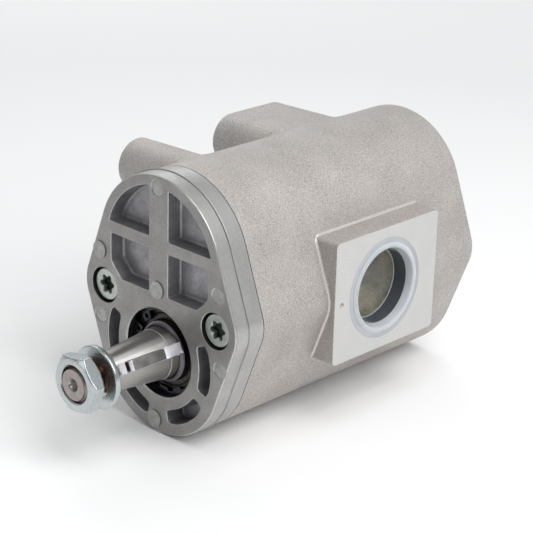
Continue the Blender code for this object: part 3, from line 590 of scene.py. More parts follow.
body = surface("pump_body_casting", carried(hull(PUMP), [
    (14.6, 0.0),
    (76.0, 0.0),
    *arc(136.5, 2.5, 2.5, 270, 360, 9),
]))
shaped(
    body, "UNION",
    surface("inlet_pad", standing(soft_rectangle((49.9, 109.7), 25.2, 2.0), 44.3, 1.0, 0.0, 0.2, 20.0)),
    surface("outlet_pad", standing(soft_rectangle((57.0, 101.0), 20.0, 2.0), -48.0, 1.0, 0.0, 0.2, 20.0)),
    surface("front_boss", standing(obround(HOLES_Y[:1], HOLES_Z, 10.3), -48.0, 1.8, 0.024, 0.5, 9.0)),
    surface("rear_boss", standing(obround(HOLES_Y[1:], HOLES_Z, 10.3), -48.0, 1.8, 0.024, 0.5, 9.0)),
)
hollows = [
    surface("gear_bore", carried(figure_eight(22.0), [(10.0, 0.0), (124.3, 0.0)])),
    surface("inlet_port", towards_x(turned([
        (11.0, 0.0), (11.0, 17.0), (42.3, 17.0), (43.1, 17.8), (43.4, 17.8), (43.4, 20.2), (46.0, 20.2),
        (46.0, 0.0),
    ], count=144), 1.0, PORT_Y)),
    surface("outlet_port", towards_x(turned([
        (11.0, 0.0), (11.0, 4.5), (32.0, 9.0), (32.0, 11.5), (46.0, 11.5), (46.8, 12.3), (47.1, 12.3),
        (47.1, 14.3), (49.5, 14.3), (49.5, 0.0),
    ], count=120), -1.0, PORT_Y)),
    surface("pad_dimple", towards_x(turned([
        (43.5, 0.0), (43.6, 0.5), (43.9, 0.9), (44.35, 1.15), (45.0, 1.5), (45.0, 0.0),
    ], count=32), 1.0, 53.9, -0.7)),
]
cos, sin = circle(48)
reach = np.linspace(31.5, 47.4, 64)[:, None]
radius = 4.35 + 0.6 * thread_ridge(reach, np.arange(48) / 48, 31.5, 47.4, 1.5)
tapping = np.concatenate([
    turned([(29.5, 0.0), (30.6, 4.25), (31.4, 4.25)], count=48),
    np.stack([radius * cos, reach + 0.0 * cos, radius * sin], -1),
    turned([(47.45, 5.0), (48.2, 5.75), (49.0, 5.75), (49.0, 0.0)], count=48),
])
for y in HOLES_Y:
    hollows.append(surface("tapped_hole", towards_x(tapping, -1.0, y, HOLES_Z)))
shaped(body, "DIFFERENCE", *hollows)

blasted = cast_material(
    "shot_blasted_casting", (0.74, 0.694, 0.662), (0.19, 0.174, 0.163), 0.52, 0.5,
    grain=0.00050, contrast=1.5, blotch=0.016, blotch_contrast=0.35, depth=0.00022,
)
# Lighter tone along the fillet where the pads meet the body: a painted highlight.
fillet_highlight = cast_material(
    "fillet_painted_highlight", (0.80, 0.755, 0.72), (0.50, 0.47, 0.45), 0.40, 0.5,
    blotch=0.006, blotch_contrast=0.5, depth=0.00005,
)
port_wall = cast_material(
    "oiled_port_wall", (0.95, 0.82, 0.55), (0.16, 0.17, 0.07), 0.30, 0.3,
    grain=0.0016, contrast=0.4, blotch=0.014, blotch_contrast=3.2, depth=0.00002,
)


def tool_marks_group():
    """Tool marks: fine lines along one coordinate, as a shade, a roughness change and relief.

    The lines are one-dimensional noise of the coordinate divided by the spacing; the smudge is a slow
    noise over the surface.
    """
    tree, given, result = node_group("tool marks", [
        ("Along", FLOAT, 0.0),
        ("Spacing", FLOAT, 0.0003),
        ("Depth", FLOAT, 0.00001),
        ("Smudge Size", FLOAT, 0.01),
    ], [("Mask", FLOAT), ("Smudge", FLOAT), ("Normal", VECTOR)])
    place = put(tree, "ShaderNodeTexCoord").outputs["Object"]
    lines = put(tree, "ShaderNodeTexNoise", [
        ("W", maths(tree, "DIVIDE", given["Along"], given["Spacing"])), ("Scale", 1.0), ("Detail", 2.0),
    ], noise_dimensions="1D").outputs[0]
    smudge = put(tree, "ShaderNodeTexNoise", [
        ("Vector", place), ("Scale", maths(tree, "DIVIDE", 1.0, given["Smudge Size"])), ("Detail", 4.0),
        ("Distortion", 0.4),
    ]).outputs[0]
    bump = put(tree, "ShaderNodeBump", [("Height", lines), ("Distance", given["Depth"]), ("Strength", 1.0)])
    tree.links.new(lines, result["Mask"])
    tree.links.new(smudge, result["Smudge"])
    tree.links.new(bump.outputs[0], result["Normal"])
    return tree


tool_marks = tool_marks_group()


def distance_from(tree, point, flatten):
    """The distance of the shaded point from a point in metres, ignoring the axes where flatten is 0."""
    place = put(tree, "ShaderNodeTexCoord").outputs["Object"]
    offset = put(tree, "ShaderNodeVectorMath", [(0, place), (1, point)], operation="SUBTRACT")
    flat = put(tree, "ShaderNodeVectorMath", [(0, offset.outputs[0]), (1, flatten)], operation="MULTIPLY")
    return put(tree, "ShaderNodeVectorMath", [(0, flat.outputs[0])], operation="LENGTH").outputs["Value"]


def machined_material(
    name, light, dark, rough, point=(0.0, 0.0, 0.0), flatten=(0.0, 1.0, 0.0), spacing=0.0005, depth=0.00001,
    smudge=0.004, metallic=1.0,
):
    """A cut or ground metal finish: marks spaced by distance from a point or an axis, and smudges."""
    material, tree, shader = finish(name, Metallic=metallic)
    along = distance_from(tree, point, flatten)
    marks = use_group(tree, tool_marks, Along=along, Spacing=spacing, Depth=depth, Smudge_Size=smudge)
    share = maths(tree, "MULTIPLY_ADD", marks.outputs["Mask"], 0.5, marks.outputs["Smudge"])
    tone = spread(tree, share, 0.5, 1.0, 0.0, 1.0)
    join_up(
        tree, shader, Base_Color=mixed(tree, tone, (*dark, 1.0), (*light, 1.0)),
        Roughness=spread(tree, marks.outputs["Smudge"], 0.3, 0.7, rough * 0.8, rough * 1.25),
        Normal=marks.outputs["Normal"],
    )
    return material


milled = machined_material(
    "milled_pad", (0.60, 0.595, 0.585), (0.54, 0.535, 0.525), 0.42, (0.0, 0.02, -0.12), (0.0, 1.0, 1.0),
    depth=0.000001, smudge=0.012, metallic=0.45,
)
bored = machined_material(
    "bored_aluminium", (0.66, 0.65, 0.62), (0.42, 0.41, 0.39), 0.28, (0.0, 0.0, 0.0), (1.0, 0.0, 0.0),
    spacing=0.0003, smudge=0.008, metallic=0.9,
)

finishes(body, blasted, milled, bored, port_wall, joint_and_painted_gap_shade, fillet_highlight)
(x, y, z), normal = faces(body)
from_port = np.hypot(y - PORT_Y, z)
from_gears = np.hypot(x, np.abs(z) - GEAR_AXIS)
# A thin band round each pad's foot gets the painted highlight.
for side, middle, half, tall in ((1.0, 79.8, 29.9, 25.2), (-1.0, 79.0, 22.0, 20.0)):
    beyond_pad = np.maximum(np.abs(y - middle) - half, np.abs(z) - tall)
    give(body, fillet_highlight, between(side * x - side_reach(z), 0.03, 1.1) & between(beyond_pad, 0.02, 1.3))
give(body, milled, (np.abs(normal[0]) > 0.99) & ((x > 44.2) | (x < -47.9)))
give(body, bored, (from_port < 21.2) & between(x, 9.0, 44.25) & (from_gears > 10.0))
give(body, port_wall, (from_port < 17.3) & between(x, 9.0, 42.5))
give(body, bored, (from_port < 15.3) & between(x, -47.95, -9.0))
give(body, port_wall, (from_gears < 22.1) & (y < 124.4))
give(body, joint_and_painted_gap_shade, y < 14.61)
for hole_y in HOLES_Y:
    give(body, bored, (np.hypot(y - hole_y, z - HOLES_Z) < 5.9) & between(x, -47.95, -29.0))
shaded(body)
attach(body, "housing")
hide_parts("pump_body")


# Drive shaft: one hardened steel forging, turned and ground, with the drive gear cut on it.
# Its nose has a tapered seat with a milled keyway and an M14 thread; a centre hole is left in its end.

TEETH, MODULE, PRESSURE = 12, 3.125, math.radians(28)
ALONG_SHAFT = (0.0, -0.06, 0.0), (0.0, 1.0, 0.0)
ROUND_SHAFT = (0.0, 0.0, -0.01875), (1.0, 0.0, 1.0)


def tooth_angles(table):
    """Directions round a gear that hit the corners of every flank."""
    half = table[1][1:-1]
    foot = table[1][-1]
    one = np.concatenate([[-foot], -half[::-1], [0.0], half, [foot], [math.pi / TEETH]])
    return (one + np.arange(TEETH)[:, None] * 2.0 * math.pi / TEETH).ravel()


def flank_table():
    """Radii down one involute flank, tip to root, and half the angle the tooth spans at each."""
    pitch = MODULE * TEETH / 2.0
    base, tip, root = pitch * math.cos(PRESSURE), pitch + 0.95 * MODULE, pitch - 1.2 * MODULE
    radii = np.linspace(tip, base, 7)
    lean = np.arccos(np.clip(base / radii, 0.0, 1.0))
    middle = (math.pi * MODULE / 2 - 0.3) / (2.0 * pitch)
    half = middle + math.tan(PRESSURE) - PRESSURE - (np.tan(lean) - lean)
    return np.concatenate([[tip], radii, [root]]), np.concatenate([[0.0], half, [half[-1] + 0.03]])


def gear_rows(table, start, end, journal):
    """Rows (y, radius) of a gear between two journal shoulders, its teeth chamfered at the ends."""
    turn = tooth_angles(table)
    away = np.abs((turn + math.pi / TEETH) % (2.0 * math.pi / TEETH) - math.pi / TEETH)
    tooth = np.interp(away, table[1], table[0])
    chamfered = np.minimum(tooth, table[0][0] - 0.5)
    y = np.array([start, start, start + 0.5, end - 0.5, end, end])
    radius = [journal + 0.0 * tooth, chamfered, tooth, tooth, chamfered, journal + 0.0 * tooth]
    return y[:, None] + 0.0 * tooth, np.array(radius)


def about(y, radius, turn, centre):
    """A sheet from rows of y and radius and one set of directions round an axis along Y."""
    return np.stack([centre[0] + radius * np.cos(turn), y, centre[1] + radius * np.sin(turn)], -1)


def forged(name, parts, turn, centre):
    """One closed piece from blocks of (y, radius) rows about an axis along Y."""
    y, radius = (np.concatenate(rows) for rows in zip(*parts))
    return surface(name, about(y, radius, turn, centre))


def plain_rows(profile, turn):
    """Rows (y, radius) of plain circles for each pair of a profile."""
    y, radius = np.array(profile, float).T[:, :, None]
    return y + 0.0 * turn, radius + 0.0 * turn


def taper(y):
    """Radius of the tapered seat at a station."""
    return 7.45 + (9.85 - 7.45) * (y + 27.9) / 25.8


flanks = flank_table()
turn = tooth_angles(flanks)
y = np.linspace(-41.1, -30.0, 75)[:, None]
ridge = thread_ridge(y, turn / (2.0 * np.pi), -41.2, -29.9, 1.5)
nose = plain_rows([
    (-37.4, 0.0), (-38.2, 1.2), (-39.6, 1.5), (-41.3, 2.2), (-41.75, 2.45), (-41.9, 2.65), (-41.9, 5.9),
    (-41.8, 6.05), (-41.2, 6.15),
], turn)
flare = [
    (0.9 + 1.95 * math.sin(a), 12.0 - 1.95 * math.cos(a)) for a in np.radians([15, 30, 45, 60, 75, 88])
]
seat = plain_rows([
    (-29.8, 6.3), (-28.1, 6.3), (-27.9, 6.5), (-27.9, 7.05), (-27.5, taper(-27.5)), (-20.0, taper(-20.0)),
    (-12.0, taper(-12.0)), (-2.4, taper(-2.4)), (-2.3, 9.72), (-2.05, 9.72), (-1.9, 10.0), (-1.75, 10.05),
    (0.9, 10.05), *flare, (25.0, 12.0), (59.2, 12.0), (59.5, 11.8), (60.0, 11.8),
], turn)
tail = plain_rows([
    (96.0, 11.8), (96.5, 11.8), (96.8, 12.0), (119.5, 12.0), (120.5, 11.0), (120.5, 0.0),
], turn)
teeth = gear_rows(flanks, 60.0, 96.0, 11.8)
parts = [nose, (y + 0.0 * ridge, 6.15 + 0.85 * ridge), seat, teeth, tail]
drive = forged("drive_shaft_forging", parts, turn + np.pi / 2, DRIVE)
keyed = math.radians(25.5)
out = np.array([math.cos(keyed), 0.0, math.sin(keyed)])
across = np.array([-math.sin(keyed), 0.0, math.cos(keyed)])
axis = np.array([0.0, 1.0, 0.0])
centre_line = np.array([0.0, 0.0, -GEAR_AXIS])


def key_solid(name, side, half_width, corner):
    """A solid across the keyway: its side profile (y, height over the axis) set at several widths."""
    side = np.array(side)
    middle = side.mean(axis=0)
    reach = side - middle
    length = np.linalg.norm(reach, axis=1, keepdims=True)
    inner = half_width - corner
    rows = []
    for offset, shrink in ((-half_width, corner), (-inner, 0.0), (inner, 0.0), (half_width, corner)):
        ring = middle + reach * (1.0 - shrink / length)
        rows.append(centre_line + ring[:, :1] * axis + ring[:, 1:] * out + offset * across)
    return surface(name, capped(np.array(rows)))


run_in = [
    (-25.5, taper(-25.5) + 0.1), (-24.8, taper(-24.8) - 0.25), (-23.4, taper(-25.0) - 0.45),
    (-22.0, taper(-25.0) - 0.60), (-21.7, taper(-25.0) - 0.65), (-21.55, taper(-25.0) - 2.4),
]
run_out = [
    (-4.7 + 7.4 * s, taper(-4.7) - 2.5 + 4.0 * (1 - math.cos(s * math.pi / 2))) for s in np.linspace(0, 1, 7)
]
keyway = key_solid("keyway", [*run_in, *run_out, (2.7, 13.5), (-25.5, 13.5)], 2.15, 0.001)
shaped(drive, "DIFFERENCE", keyway)

ground = machined_material(
    "ground_steel", (0.50, 0.485, 0.465), (0.44, 0.425, 0.41), 0.36, *ALONG_SHAFT,
    spacing=0.00022, depth=0.000001, smudge=0.02,
)
shader = ground.node_tree.nodes["Principled BSDF"]
shader.inputs["Anisotropic"].default_value = 0.85
along_axis = put(ground.node_tree, "ShaderNodeCombineXYZ", [("Y", 1.0)])
join_up(ground.node_tree, shader, Tangent=along_axis.outputs[0])
raw_turned = machined_material(
    "turned_shaft_end", (0.44, 0.39, 0.37), (0.27, 0.24, 0.23), 0.36, *ROUND_SHAFT,
    depth=0.00004, smudge=0.003,
)
# Near white: a painted highlight on the keyway's floor and walls and on the key's front bevel.
milled_highlight = machined_material(
    "milled_keyway_painted_highlight", (0.97, 0.95, 1.0), (0.84, 0.82, 0.88), 0.35, *ALONG_SHAFT,
    metallic=0.55,
)
# Dark for the journal and flare behind the cover's face: painted shade inside the bore.
journal_painted_shade = machined_material(
    "journal_painted_shade", (0.19, 0.18, 0.195), (0.11, 0.10, 0.115), 0.30, *ALONG_SHAFT,
    spacing=0.0004, depth=0.000001, smudge=0.01,
)
# Dark brown oiled steel for the thread behind the nut, darkened further as painted shade; also painted shade
# in the keyway's gap and on the key's front end.
oiled_thread_and_painted_shade = machined_material(
    "oiled_thread_and_painted_shade", (0.16, 0.10, 0.07), (0.06, 0.04, 0.03), 0.35, *ALONG_SHAFT,
    smudge=0.003,
)
finishes(drive, ground, raw_turned, milled_highlight, oiled_thread_and_painted_shade, journal_painted_shade)
at, way = faces(drive)
give(drive, raw_turned, at[1] < -40.5)
# The thread between nut and washer: oiled, and painted dark as shade in the gap.
give(drive, oiled_thread_and_painted_shade, between(at[1], -40.5, -27.95))
# The journal inside the cover's bore: painted shade.
give(drive, journal_painted_shade, between(at[1], 1.6, 30.0))
give(drive, ground, (np.hypot(at[0], at[2] + GEAR_AXIS) < 2.4) & (at[1] < -37.0))
rel = at - centre_line[:, None]
in_keyway = between(across @ rel, -2.2, 2.2) & between(at[1], -25.6, 2.7) & (out @ rel > 0.0) & (
    (out @ way > 0.35) | (np.abs(across @ way) > 0.9)
)
# Keyway faces: painted highlight.
give(drive, milled_highlight, in_keyway)
# The gap at the keyway's run-in: painted shade.
give(drive, oiled_thread_and_painted_shade, in_keyway & between(at[1], -21.75, -19.5))
shaded(drive)
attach(drive, "drive_train")
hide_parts("drive_shaft")


# Key: a parallel key of drawn steel, fitted in the keyway and bevelled at its front end.
# The coupling or drive gear slides over it.

key_side = [
    (-21.0, taper(-21.0) - 2.2), (-5.0, taper(-5.0) - 2.2), (-5.0, taper(-5.0) + 1.0),
    (-5.3, taper(-5.0) + 1.27), (-20.1, taper(-20.1) + 1.27), (-20.4, taper(-20.4) + 1.15),
    (-21.0, taper(-21.0) + 0.35),
]
key = key_solid("key", key_side, 2.0, 0.25)
key_steel = machined_material(
    "drawn_key_steel", (0.33, 0.325, 0.315), (0.24, 0.235, 0.23), 0.36, *ROUND_SHAFT,
    spacing=0.0004,
)
finishes(key, key_steel, milled_highlight, oiled_thread_and_painted_shade)
at, way = faces(key)
# The key's front bevel: painted highlight.
give(key, milled_highlight, (at[1] < -20.12) & (np.abs(way[1]) > 0.2))
# The key's front end face: painted shade.
give(key, oiled_thread_and_painted_shade, way[1] < -0.95)
shaded(key)
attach(key, "drive_train")
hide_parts("shaft_key")


# Idler: the second gear with its two journals, one steel forging, hardened and ground like the shaft.
# It runs in the upper bushes, meshed with the drive gear.

front = plain_rows([
    (29.8, 0.0), (29.8, 11.0), (30.8, 12.0), (59.2, 12.0), (59.5, 11.8), (60.0, 11.8),
], turn)
idler = forged("idler_gear_forging", [front, teeth, tail], turn - np.pi / 2 + np.pi / TEETH, IDLER)
gear_steel = machined_material(
    "oiled gear steel", (0.50, 0.44, 0.33), (0.34, 0.30, 0.22), 0.25,
    spacing=0.0006, smudge=0.006,
)
idler.data.materials.append(gear_steel)
shaded(idler)
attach(idler, "idler")
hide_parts("driven_gear")


# Shaft nut: an M14 thin hexagon nut of zinc-plated steel, chamfered on both faces.
# It is run to the thread's end, not tightened.

def nut_rows(count=288):
    """Rows (y, radius) of a hexagon nut round its bore.

    The outside is the power mean of the six flats and of a cone that grows from each face, which
    leaves every edge slightly round.
    """
    half_flats, power = 10.4, 140.0
    spin = math.radians(7.96) + math.pi / 6
    turn = 2.0 * np.pi * np.arange(count) / count
    facing = np.stack([np.cos(turn - spin - k * math.pi / 3) for k in range(6)])
    flat = (np.maximum(facing, 1e-6) / half_flats) ** power
    front, back = -41.6, -35.8
    chamfer = 1.5 * np.linspace(0, 1, 13) ** 1.2
    y = np.concatenate([front + chamfer, back - chamfer[::-1]])
    near = np.minimum(y - front, back - y)
    cone = np.minimum(9.9 + near / math.tan(math.radians(30.0)), 14.0)
    outer = (flat.sum(axis=0) + (1.0 / cone[:, None]) ** power) ** (-1.0 / power)
    inner = np.array([(-36.3, 7.3), (-41.1, 7.3), (-41.45, 7.6), (-41.58, 7.75), (-41.6, 7.9)])
    close = np.array([(-35.8, 7.9), (-36.3, 7.3)])
    y = np.concatenate([inner[:, 0], y, close[:, 0]])[:, None] + 0.0 * turn
    plain = [r + 0.0 * turn for r in inner[:, 1]]
    return y, np.array([*plain, *outer, *[r + 0.0 * turn for r in close[:, 1]]]), turn


y, radius, around = nut_rows()
nut = surface("shaft_nut", about(y, radius, around, DRIVE))


def plated_material(name, light, dark, rough, grain, depth, metallic):
    """A plated finish: faint grain, soft cloudy changes of tone and a varying polish."""
    return cast_material(name, light, dark, rough, metallic, grain, 0.5, 0.006, 0.8, depth)


zinc = plated_material(
    "blue_zinc_plate", (0.60, 0.635, 0.64), (0.42, 0.455, 0.465), 0.26, 0.0007, 0.00002, 0.92
)
nut.data.materials.append(zinc)
shaded(nut)
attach(nut, "drive_train")
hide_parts("shaft_nut")


# Plain washer: a thick stamped steel washer, zinc plated.
# It hangs loose on the thread, a little below the shaft's axis.

def ring_profile(inner, outer, start, end, edge, count=5):
    """A closed ring section (y, radius) with rounded corners."""
    return [
        *arc(start + edge, outer - edge, edge, 180, 90, count),
        *arc(end - edge, outer - edge, edge, 90, 0, count),
        *arc(end - edge, inner + edge, edge, 0, -90, count),
        *arc(start + edge, inner + edge, edge, -90, -180, count),
        (start, outer - edge),
    ]


washer = surface("plain_washer", turned(ring_profile(7.55, 12.3, -31.45, -28.95, 0.7), (0.0, -19.15), 144))
washer.data.materials.append(zinc)
shaded(washer)
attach(washer, "drive_train")
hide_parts("plain_washer")


# Cover screws: two M8 cheese-head steel screws with six-lobe sockets, zinc plated.
# They are sunk in the cover's seats and hold it to the body; their sockets are painted darker with depth, as
# painted shade.

def screw_rows(count=120):
    """Rows (y, radius) of a screw: its socket's lobes swell and shrink with six times the direction."""
    turn = 2.0 * np.pi * np.arange(count) / count
    lobes = np.cos(6.0 * (turn - math.radians(4.0)))
    rows = [
        (4.9, 0.0, 0.0), (4.7, 1.6, 0.0), (4.5, 3.0, 0.45), (4.3, 3.25, 0.6), (1.75, 3.3, 0.62),
        (1.45, 3.4, 0.58), (1.2, 3.75, 0.5), (1.2, 4.6, 0.1), (1.2, 5.9, 0.0), (1.25, 6.15, 0.0),
        (1.4, 6.36, 0.0), (1.65, 6.5, 0.0), (5.0, 6.5, 0.0), (8.6, 6.5, 0.0), (8.8, 6.3, 0.0),
        (8.8, 4.1, 0.0), (9.2, 4.0, 0.0), (35.0, 4.0, 0.0), (36.0, 3.0, 0.0), (36.0, 0.0, 0.0),
    ]
    y, middle, swing = np.array(rows).T[:, :, None]
    return y + 0.0 * turn, middle + swing * lobes, turn


screw_zinc = cast_material(
    "screw_zinc_with_painted_socket_shade", (0.60, 0.64, 0.59), (0.38, 0.41, 0.375), 0.38, 0.75,
    grain=0.0007, blotch_contrast=1.4, depth=0.00002,
)
tree = screw_zinc.node_tree
shader = tree.nodes["Principled BSDF"]
zinc_tone = shader.inputs["Base Color"].links[0].from_socket
# Deeper in the socket the zinc is painted darker: painted shade.
place = put(tree, "ShaderNodeTexCoord").outputs["Object"]
depth = put(tree, "ShaderNodeSeparateXYZ", [("Vector", place)]).outputs["Y"]
sunk = spread(tree, depth, 0.0017, 0.0040, 0.0, 1.0)
join_up(tree, shader, Base_Color=mixed(tree, sunk, zinc_tone, (0.06, 0.075, 0.065, 1.0)))
y, radius, around = screw_rows()
for name, side in (("left", -1.0), ("right", 1.0)):
    screw = surface(f"cover_screw_{name}", about(y, radius, around, (side * SCREW_X, 0.0)))
    screw.data.materials.append(screw_zinc)
    shaded(screw)
    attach(screw, "housing")
    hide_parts(f"cover_screw_{name}")


# Retaining ring: a stamped, blackened spring ring snapped in a groove in front of the seals.
# Two drilled lugs stand beside its opening, and four short tabs point inwards round the shaft.

def eased(share):
    """A smooth step from 0 to 1."""
    share = np.clip(share, 0.0, 1.0)
    return share * share * (3.0 - 2.0 * share)


opening, half_gap = 146.5, 7.5
first, last = opening + half_gap, opening - half_gap + 360.0
turns = np.linspace(first, last, 420)
near = np.minimum(turns - first, last - turns)
inner = 13.4 + 2.8 * eased((near - 15.0) / 2.5)
for middle in (269.0, 297.0, 356.0, 384.0):
    inner = inner - 1.4 * eased((9.0 - np.abs(turns - middle)) / 1.6)
section = 2.0 * np.pi * (np.arange(20) + 0.5) / 20
corner = (np.abs(np.cos(section)) ** 9 + np.abs(np.sin(section)) ** 9) ** (-1.0 / 9.0)
reach = (18.5 + inner[:, None]) / 2.0 + (18.5 - inner[:, None]) / 2.0 * np.cos(section) * corner
turns = np.radians(turns)[:, None]
ring = surface("retaining_ring", capped(np.stack([
    reach * np.cos(turns), 4.0 + 0.74 * np.sin(section) * corner + 0.0 * reach,
    -GEAR_AXIS + reach * np.sin(turns),
], -1)))
holes = []
for angle in (first + 8.0, last - 8.0):
    a = math.radians(angle)
    holes.append(surface("lug_hole", turned(
        [(2.0, 0.0), (2.0, 1.05), (6.0, 1.05), (6.0, 0.0)],
        (15.1 * math.cos(a), -GEAR_AXIS + 15.1 * math.sin(a)), 32,
    )))
shaped(ring, "DIFFERENCE", *holes)
black_oxide = plated_material(
    "black_spring_steel", (0.050, 0.050, 0.062), (0.018, 0.018, 0.024), 0.20, 0.0004, 0.00001, 0.9
)
finishes(ring, black_oxide)
shaded(ring)
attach(ring, "housing")
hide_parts("retaining_ring")


# Outer shaft seal: a rubber-covered steel case with a dust lip that bears on the shaft.
# The rubber is reddish brown and shows all round the shaft behind the retaining ring.

seal_case = surface("outer_seal_case", turned([
    *arc(5.5, 17.0, 0.5, 180, 90, 5), (11.9, 17.5), (12.05, 17.3), (12.05, 16.5), (6.4, 16.5), (6.1, 16.2),
    (6.1, 14.6), (5.3, 14.6), (5.1, 14.9), (5.05, 15.3), (5.0, 17.0),
], DRIVE, 144))
seal_lip = surface("outer_seal_lip", turned([
    (5.25, 13.2), (5.15, 13.6), (5.3, 14.2), (6.3, 14.3), (6.4, 16.1), (7.4, 16.1), (7.7, 14.4),
    (10.9, 13.9), (10.9, 12.9), (9.5, 12.17), (8.0, 12.9), (6.6, 13.0), (5.7, 12.25), (5.3, 12.2),
    (5.2, 12.5), (5.25, 13.2),
], DRIVE, 144))
rubber = plated_material(
    "brown_nitrile_rubber", (0.036, 0.013, 0.009), (0.011, 0.006, 0.005), 0.38, 0.0007, 0.00002, 0.0
)
for piece, node in ((seal_case, "outer_seal_case"), (seal_lip, "outer_seal_lip")):
    piece.data.materials.append(rubber)
    shaded(piece)
    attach(piece, "housing")
    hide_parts(node)


# Port plugs: flanged cups of thin translucent plastic pushed into the ports against dirt.
# The rim is milky where it is thick and the bottom is clear. The side wall is an opaque dark stand-in
# for the shadow that shows through clear plastic.

def plug_profile(top, flange, tube, depth, wall, under):
    """A cup's closed section (distance along the port, radius): bottom, wall, cone, bead and flange."""
    bottom = top - depth
    inner = tube - wall
    return [
        (bottom + wall, 0.0), (bottom + wall, inner - 1.1), (bottom + wall + 0.15, inner - 0.8),
        (bottom + wall + 0.5, inner - 0.6), (top - 3.4, inner - 0.5), (top - 3.0, inner - 0.45),
        (top - 2.6, inner - 0.3), (top - 0.9, inner + 0.35), (top - 0.25, inner + 0.7), (top, inner + 1.25),
        (top - 0.05, inner + 1.8), (top - 0.25, inner + 2.3), (top - 0.5, inner + 2.8),
        (top - 0.56, inner + 3.2), (top - 0.60, flange), (top - 0.66, flange + 0.4),
        (top - 0.76, flange + 0.5), (top - 0.76, flange), (under + 0.1, flange), (under, flange - 0.1),
        (under, tube), (bottom + 0.5, tube), (bottom, tube - 0.5), (bottom, 0.0),
    ]


def plastic(name, light, dark, rough, alpha, transmission):
    """Polythene: cloudy tone, faint moulding grain, some light let through."""
    return cast_material(
        name, light, dark, rough, 0.0, 0.001, 0.3, 0.006, 0.8, 0.00001,
        Alpha=alpha, Transmission_Weight=transmission, IOR=1.3,
    )


milky = plastic("milky_polythene", (0.74, 0.77, 0.80), (0.54, 0.57, 0.61), 0.22, 0.78, 0.1)
clear = plastic("clear_polythene", (0.60, 0.64, 0.66), (0.40, 0.43, 0.45), 0.08, 0.10, 0.0)
deep = plastic("clear_polythene_over_dark", (0.095, 0.105, 0.118), (0.055, 0.062, 0.070), 0.14, 1.0, 0.0)
thin = plastic("thin_polythene", (0.70, 0.73, 0.76), (0.56, 0.59, 0.62), 0.20, 0.42, 0.0)
for name, top, flange, tube, side, under in (
    ("inlet", 45.1, 20.1, 16.7, 1.0, 43.7), ("outlet", 48.8, 14.2, 11.2, -1.0, 47.4)
):
    profile = plug_profile(top, flange, tube, 10.0, 1.1, under)
    plug = surface(f"{name}_port_plug", towards_x(turned(profile, count=144), side, PORT_Y))
    finishes(plug, milky, clear, deep, thin)
    (x, y, z), _ = faces(plug)
    outwards, from_port = np.abs(x), np.hypot(y - PORT_Y, z)
    give(plug, thin, (from_port > tube + 1.8) & (outwards > top - 0.8))
    give(plug, deep, between(outwards, top - 8.7, top - 3.1))
    give(plug, clear, (outwards < top - 8.8) & (from_port < tube - 2.2))
    shaded(plug)
    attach(plug, "housing")
    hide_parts(f"{name}_port_plug")


# Bearings, seals and dowels inside the pump: kept as the CAD has them, each in its own finish.
# Blocks are aluminium turned all over, bushes bronze, seals rubber with steel parts, pins bare steel.

block_alloy = machined_material(
    "bearing_alloy", (0.62, 0.60, 0.56), (0.42, 0.40, 0.37), 0.30, (0.0, 0.0, 0.0), (1.0, 0.0, 1.0),
    spacing=0.0003, smudge=0.008,
)
bronze = machined_material(
    "bearing_bronze", (0.60, 0.40, 0.20), (0.40, 0.26, 0.12), 0.30,
    spacing=0.0003, smudge=0.006,
)
bright_steel = machined_material(
    "bright_steel", (0.52, 0.52, 0.53), (0.38, 0.38, 0.39), 0.25,
    spacing=0.0003, smudge=0.005,
)
black_rubber = plated_material(
    "black_rubber", (0.035, 0.034, 0.034), (0.015, 0.015, 0.015), 0.5, 0.0007, 0.00002, 0.0
)
inside = (
    (block_alloy, ("front_bearing_block", "rear_bearing_block")),
    (bronze, ("front_drive_bush", "rear_drive_bush", "front_driven_bush", "rear_driven_bush")),
    (black_rubber, ("front_pressure_seal", "rear_pressure_seal", "body_o_ring")),
    (rubber, ("inner_seal_lip",)),
    (bright_steel, ("inner_seal_case", "inner_seal_spring", "outer_seal_spring")),
    (bright_steel, ("dowel_pin_upper", "dowel_pin_lower")),
)
for material, nodes in inside:
    for node in nodes:
        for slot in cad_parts[node].material_slots:
            slot.material = material


# Floor, light and camera: a plain pale floor under soft studio light from the right and above.
# The floor glows a little far off, so that it stays pale to the horizon.

FLOOR_Z = -0.0521
floor_mesh = bpy.data.meshes.new("floor")
floor_mesh.from_pydata([(x, y, FLOOR_Z) for x, y in ((-6, -6), (6, -6), (6, 6), (-6, 6))], [], [(0, 1, 2, 3)])
floor = bpy.data.objects.new("floor", floor_mesh)
bpy.context.scene.collection.objects.link(floor)
paper, tree, shader = finish(
    "pale_floor", Base_Color=(0.93, 0.93, 0.93, 1.0), Roughness=0.8, Emission_Strength=1.0
)
glow = spread(tree, distance_from(tree, (0.0, 0.0, 0.0), (1.0, 1.0, 0.0)), 0.55, 1.6, 0.0, 0.45)
join_up(tree, shader, Emission_Color=glow)
floor_mesh.materials.append(paper)


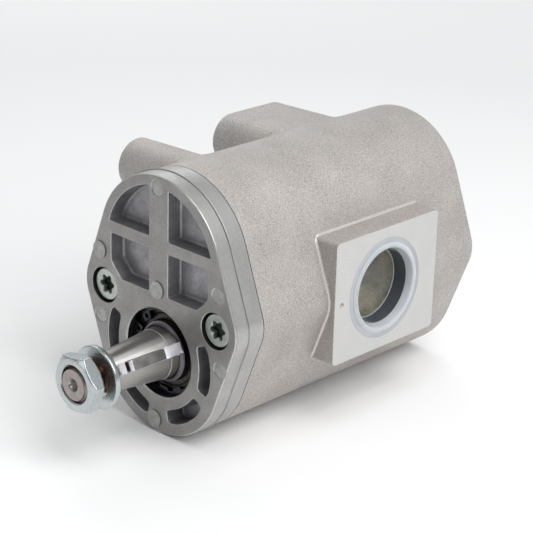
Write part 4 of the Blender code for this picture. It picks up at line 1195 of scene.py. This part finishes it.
def soft_box(name, place, size, power, aim=(0.0, 0.04, 0.0)):
    """A square area light at a place, turned to face a point."""
    data = bpy.data.lights.new(name, "AREA")
    data.size = size
    data.energy = power
    lamp = bpy.data.objects.new(name, data)
    bpy.context.scene.collection.objects.link(lamp)
    facing = (Vector(place) - Vector(aim)).to_track_quat("Z", "Y").to_matrix().to_4x4()
    lamp.matrix_world = Matrix.Translation(place) @ facing


soft_box("key", (0.82, 0.00, 0.78), 0.8, 9.5)
soft_box("overhead", (0.30, 0.05, 1.05), 0.6, 3.6)
soft_box("front_fill", (-0.30, -1.00, 0.45), 0.5, 1.0)
soft_box("rear_fill", (-0.8, 0.5, 0.7), 0.7, 2.4)
world = bpy.data.worlds.new("studio")
bpy.context.scene.world = world
world.use_nodes = True
heading = put(world.node_tree, "ShaderNodeTexCoord").outputs["Generated"]
frontward = put(world.node_tree, "ShaderNodeVectorMath", [
    (0, heading), (1, (0.55, -0.83, 0.0)),
], operation="DOT_PRODUCT")
strength = spread(world.node_tree, frontward.outputs["Value"], -0.2, 0.7, 0.46, 0.12)
background = world.node_tree.nodes["Background"]
background.inputs["Color"].default_value = (0.96, 0.98, 1.0, 1.0)
world.node_tree.links.new(strength, background.inputs["Strength"])
bpy.context.scene.view_settings.view_transform = "Standard"

azimuth, elevation, roll = (math.radians(a) for a in (43.635, 21.603, 1.612))
shift_right, shift_up, distance = 0.040728, 0.015446, 0.671758
backward = Vector((
    math.sin(azimuth) * math.cos(elevation), -math.cos(azimuth) * math.cos(elevation), math.sin(elevation)
))
level = (-backward).cross(Vector((0.0, 0.0, 1.0))).normalized()
upright = level.cross(-backward)
right = math.cos(roll) * level + math.sin(roll) * upright
up = -math.sin(roll) * level + math.cos(roll) * upright
camera_data = bpy.data.cameras.new("camera")
camera_data.lens = 120.82
camera_data.sensor_width = 36.0
camera = bpy.data.objects.new("camera", camera_data)
bpy.context.scene.collection.objects.link(camera)
turned_to = Matrix((right, up, backward)).transposed().to_4x4()
stand = shift_right * right + shift_up * up + distance * backward
camera.matrix_world = Matrix.Translation(stand) @ turned_to
bpy.context.scene.camera = camera
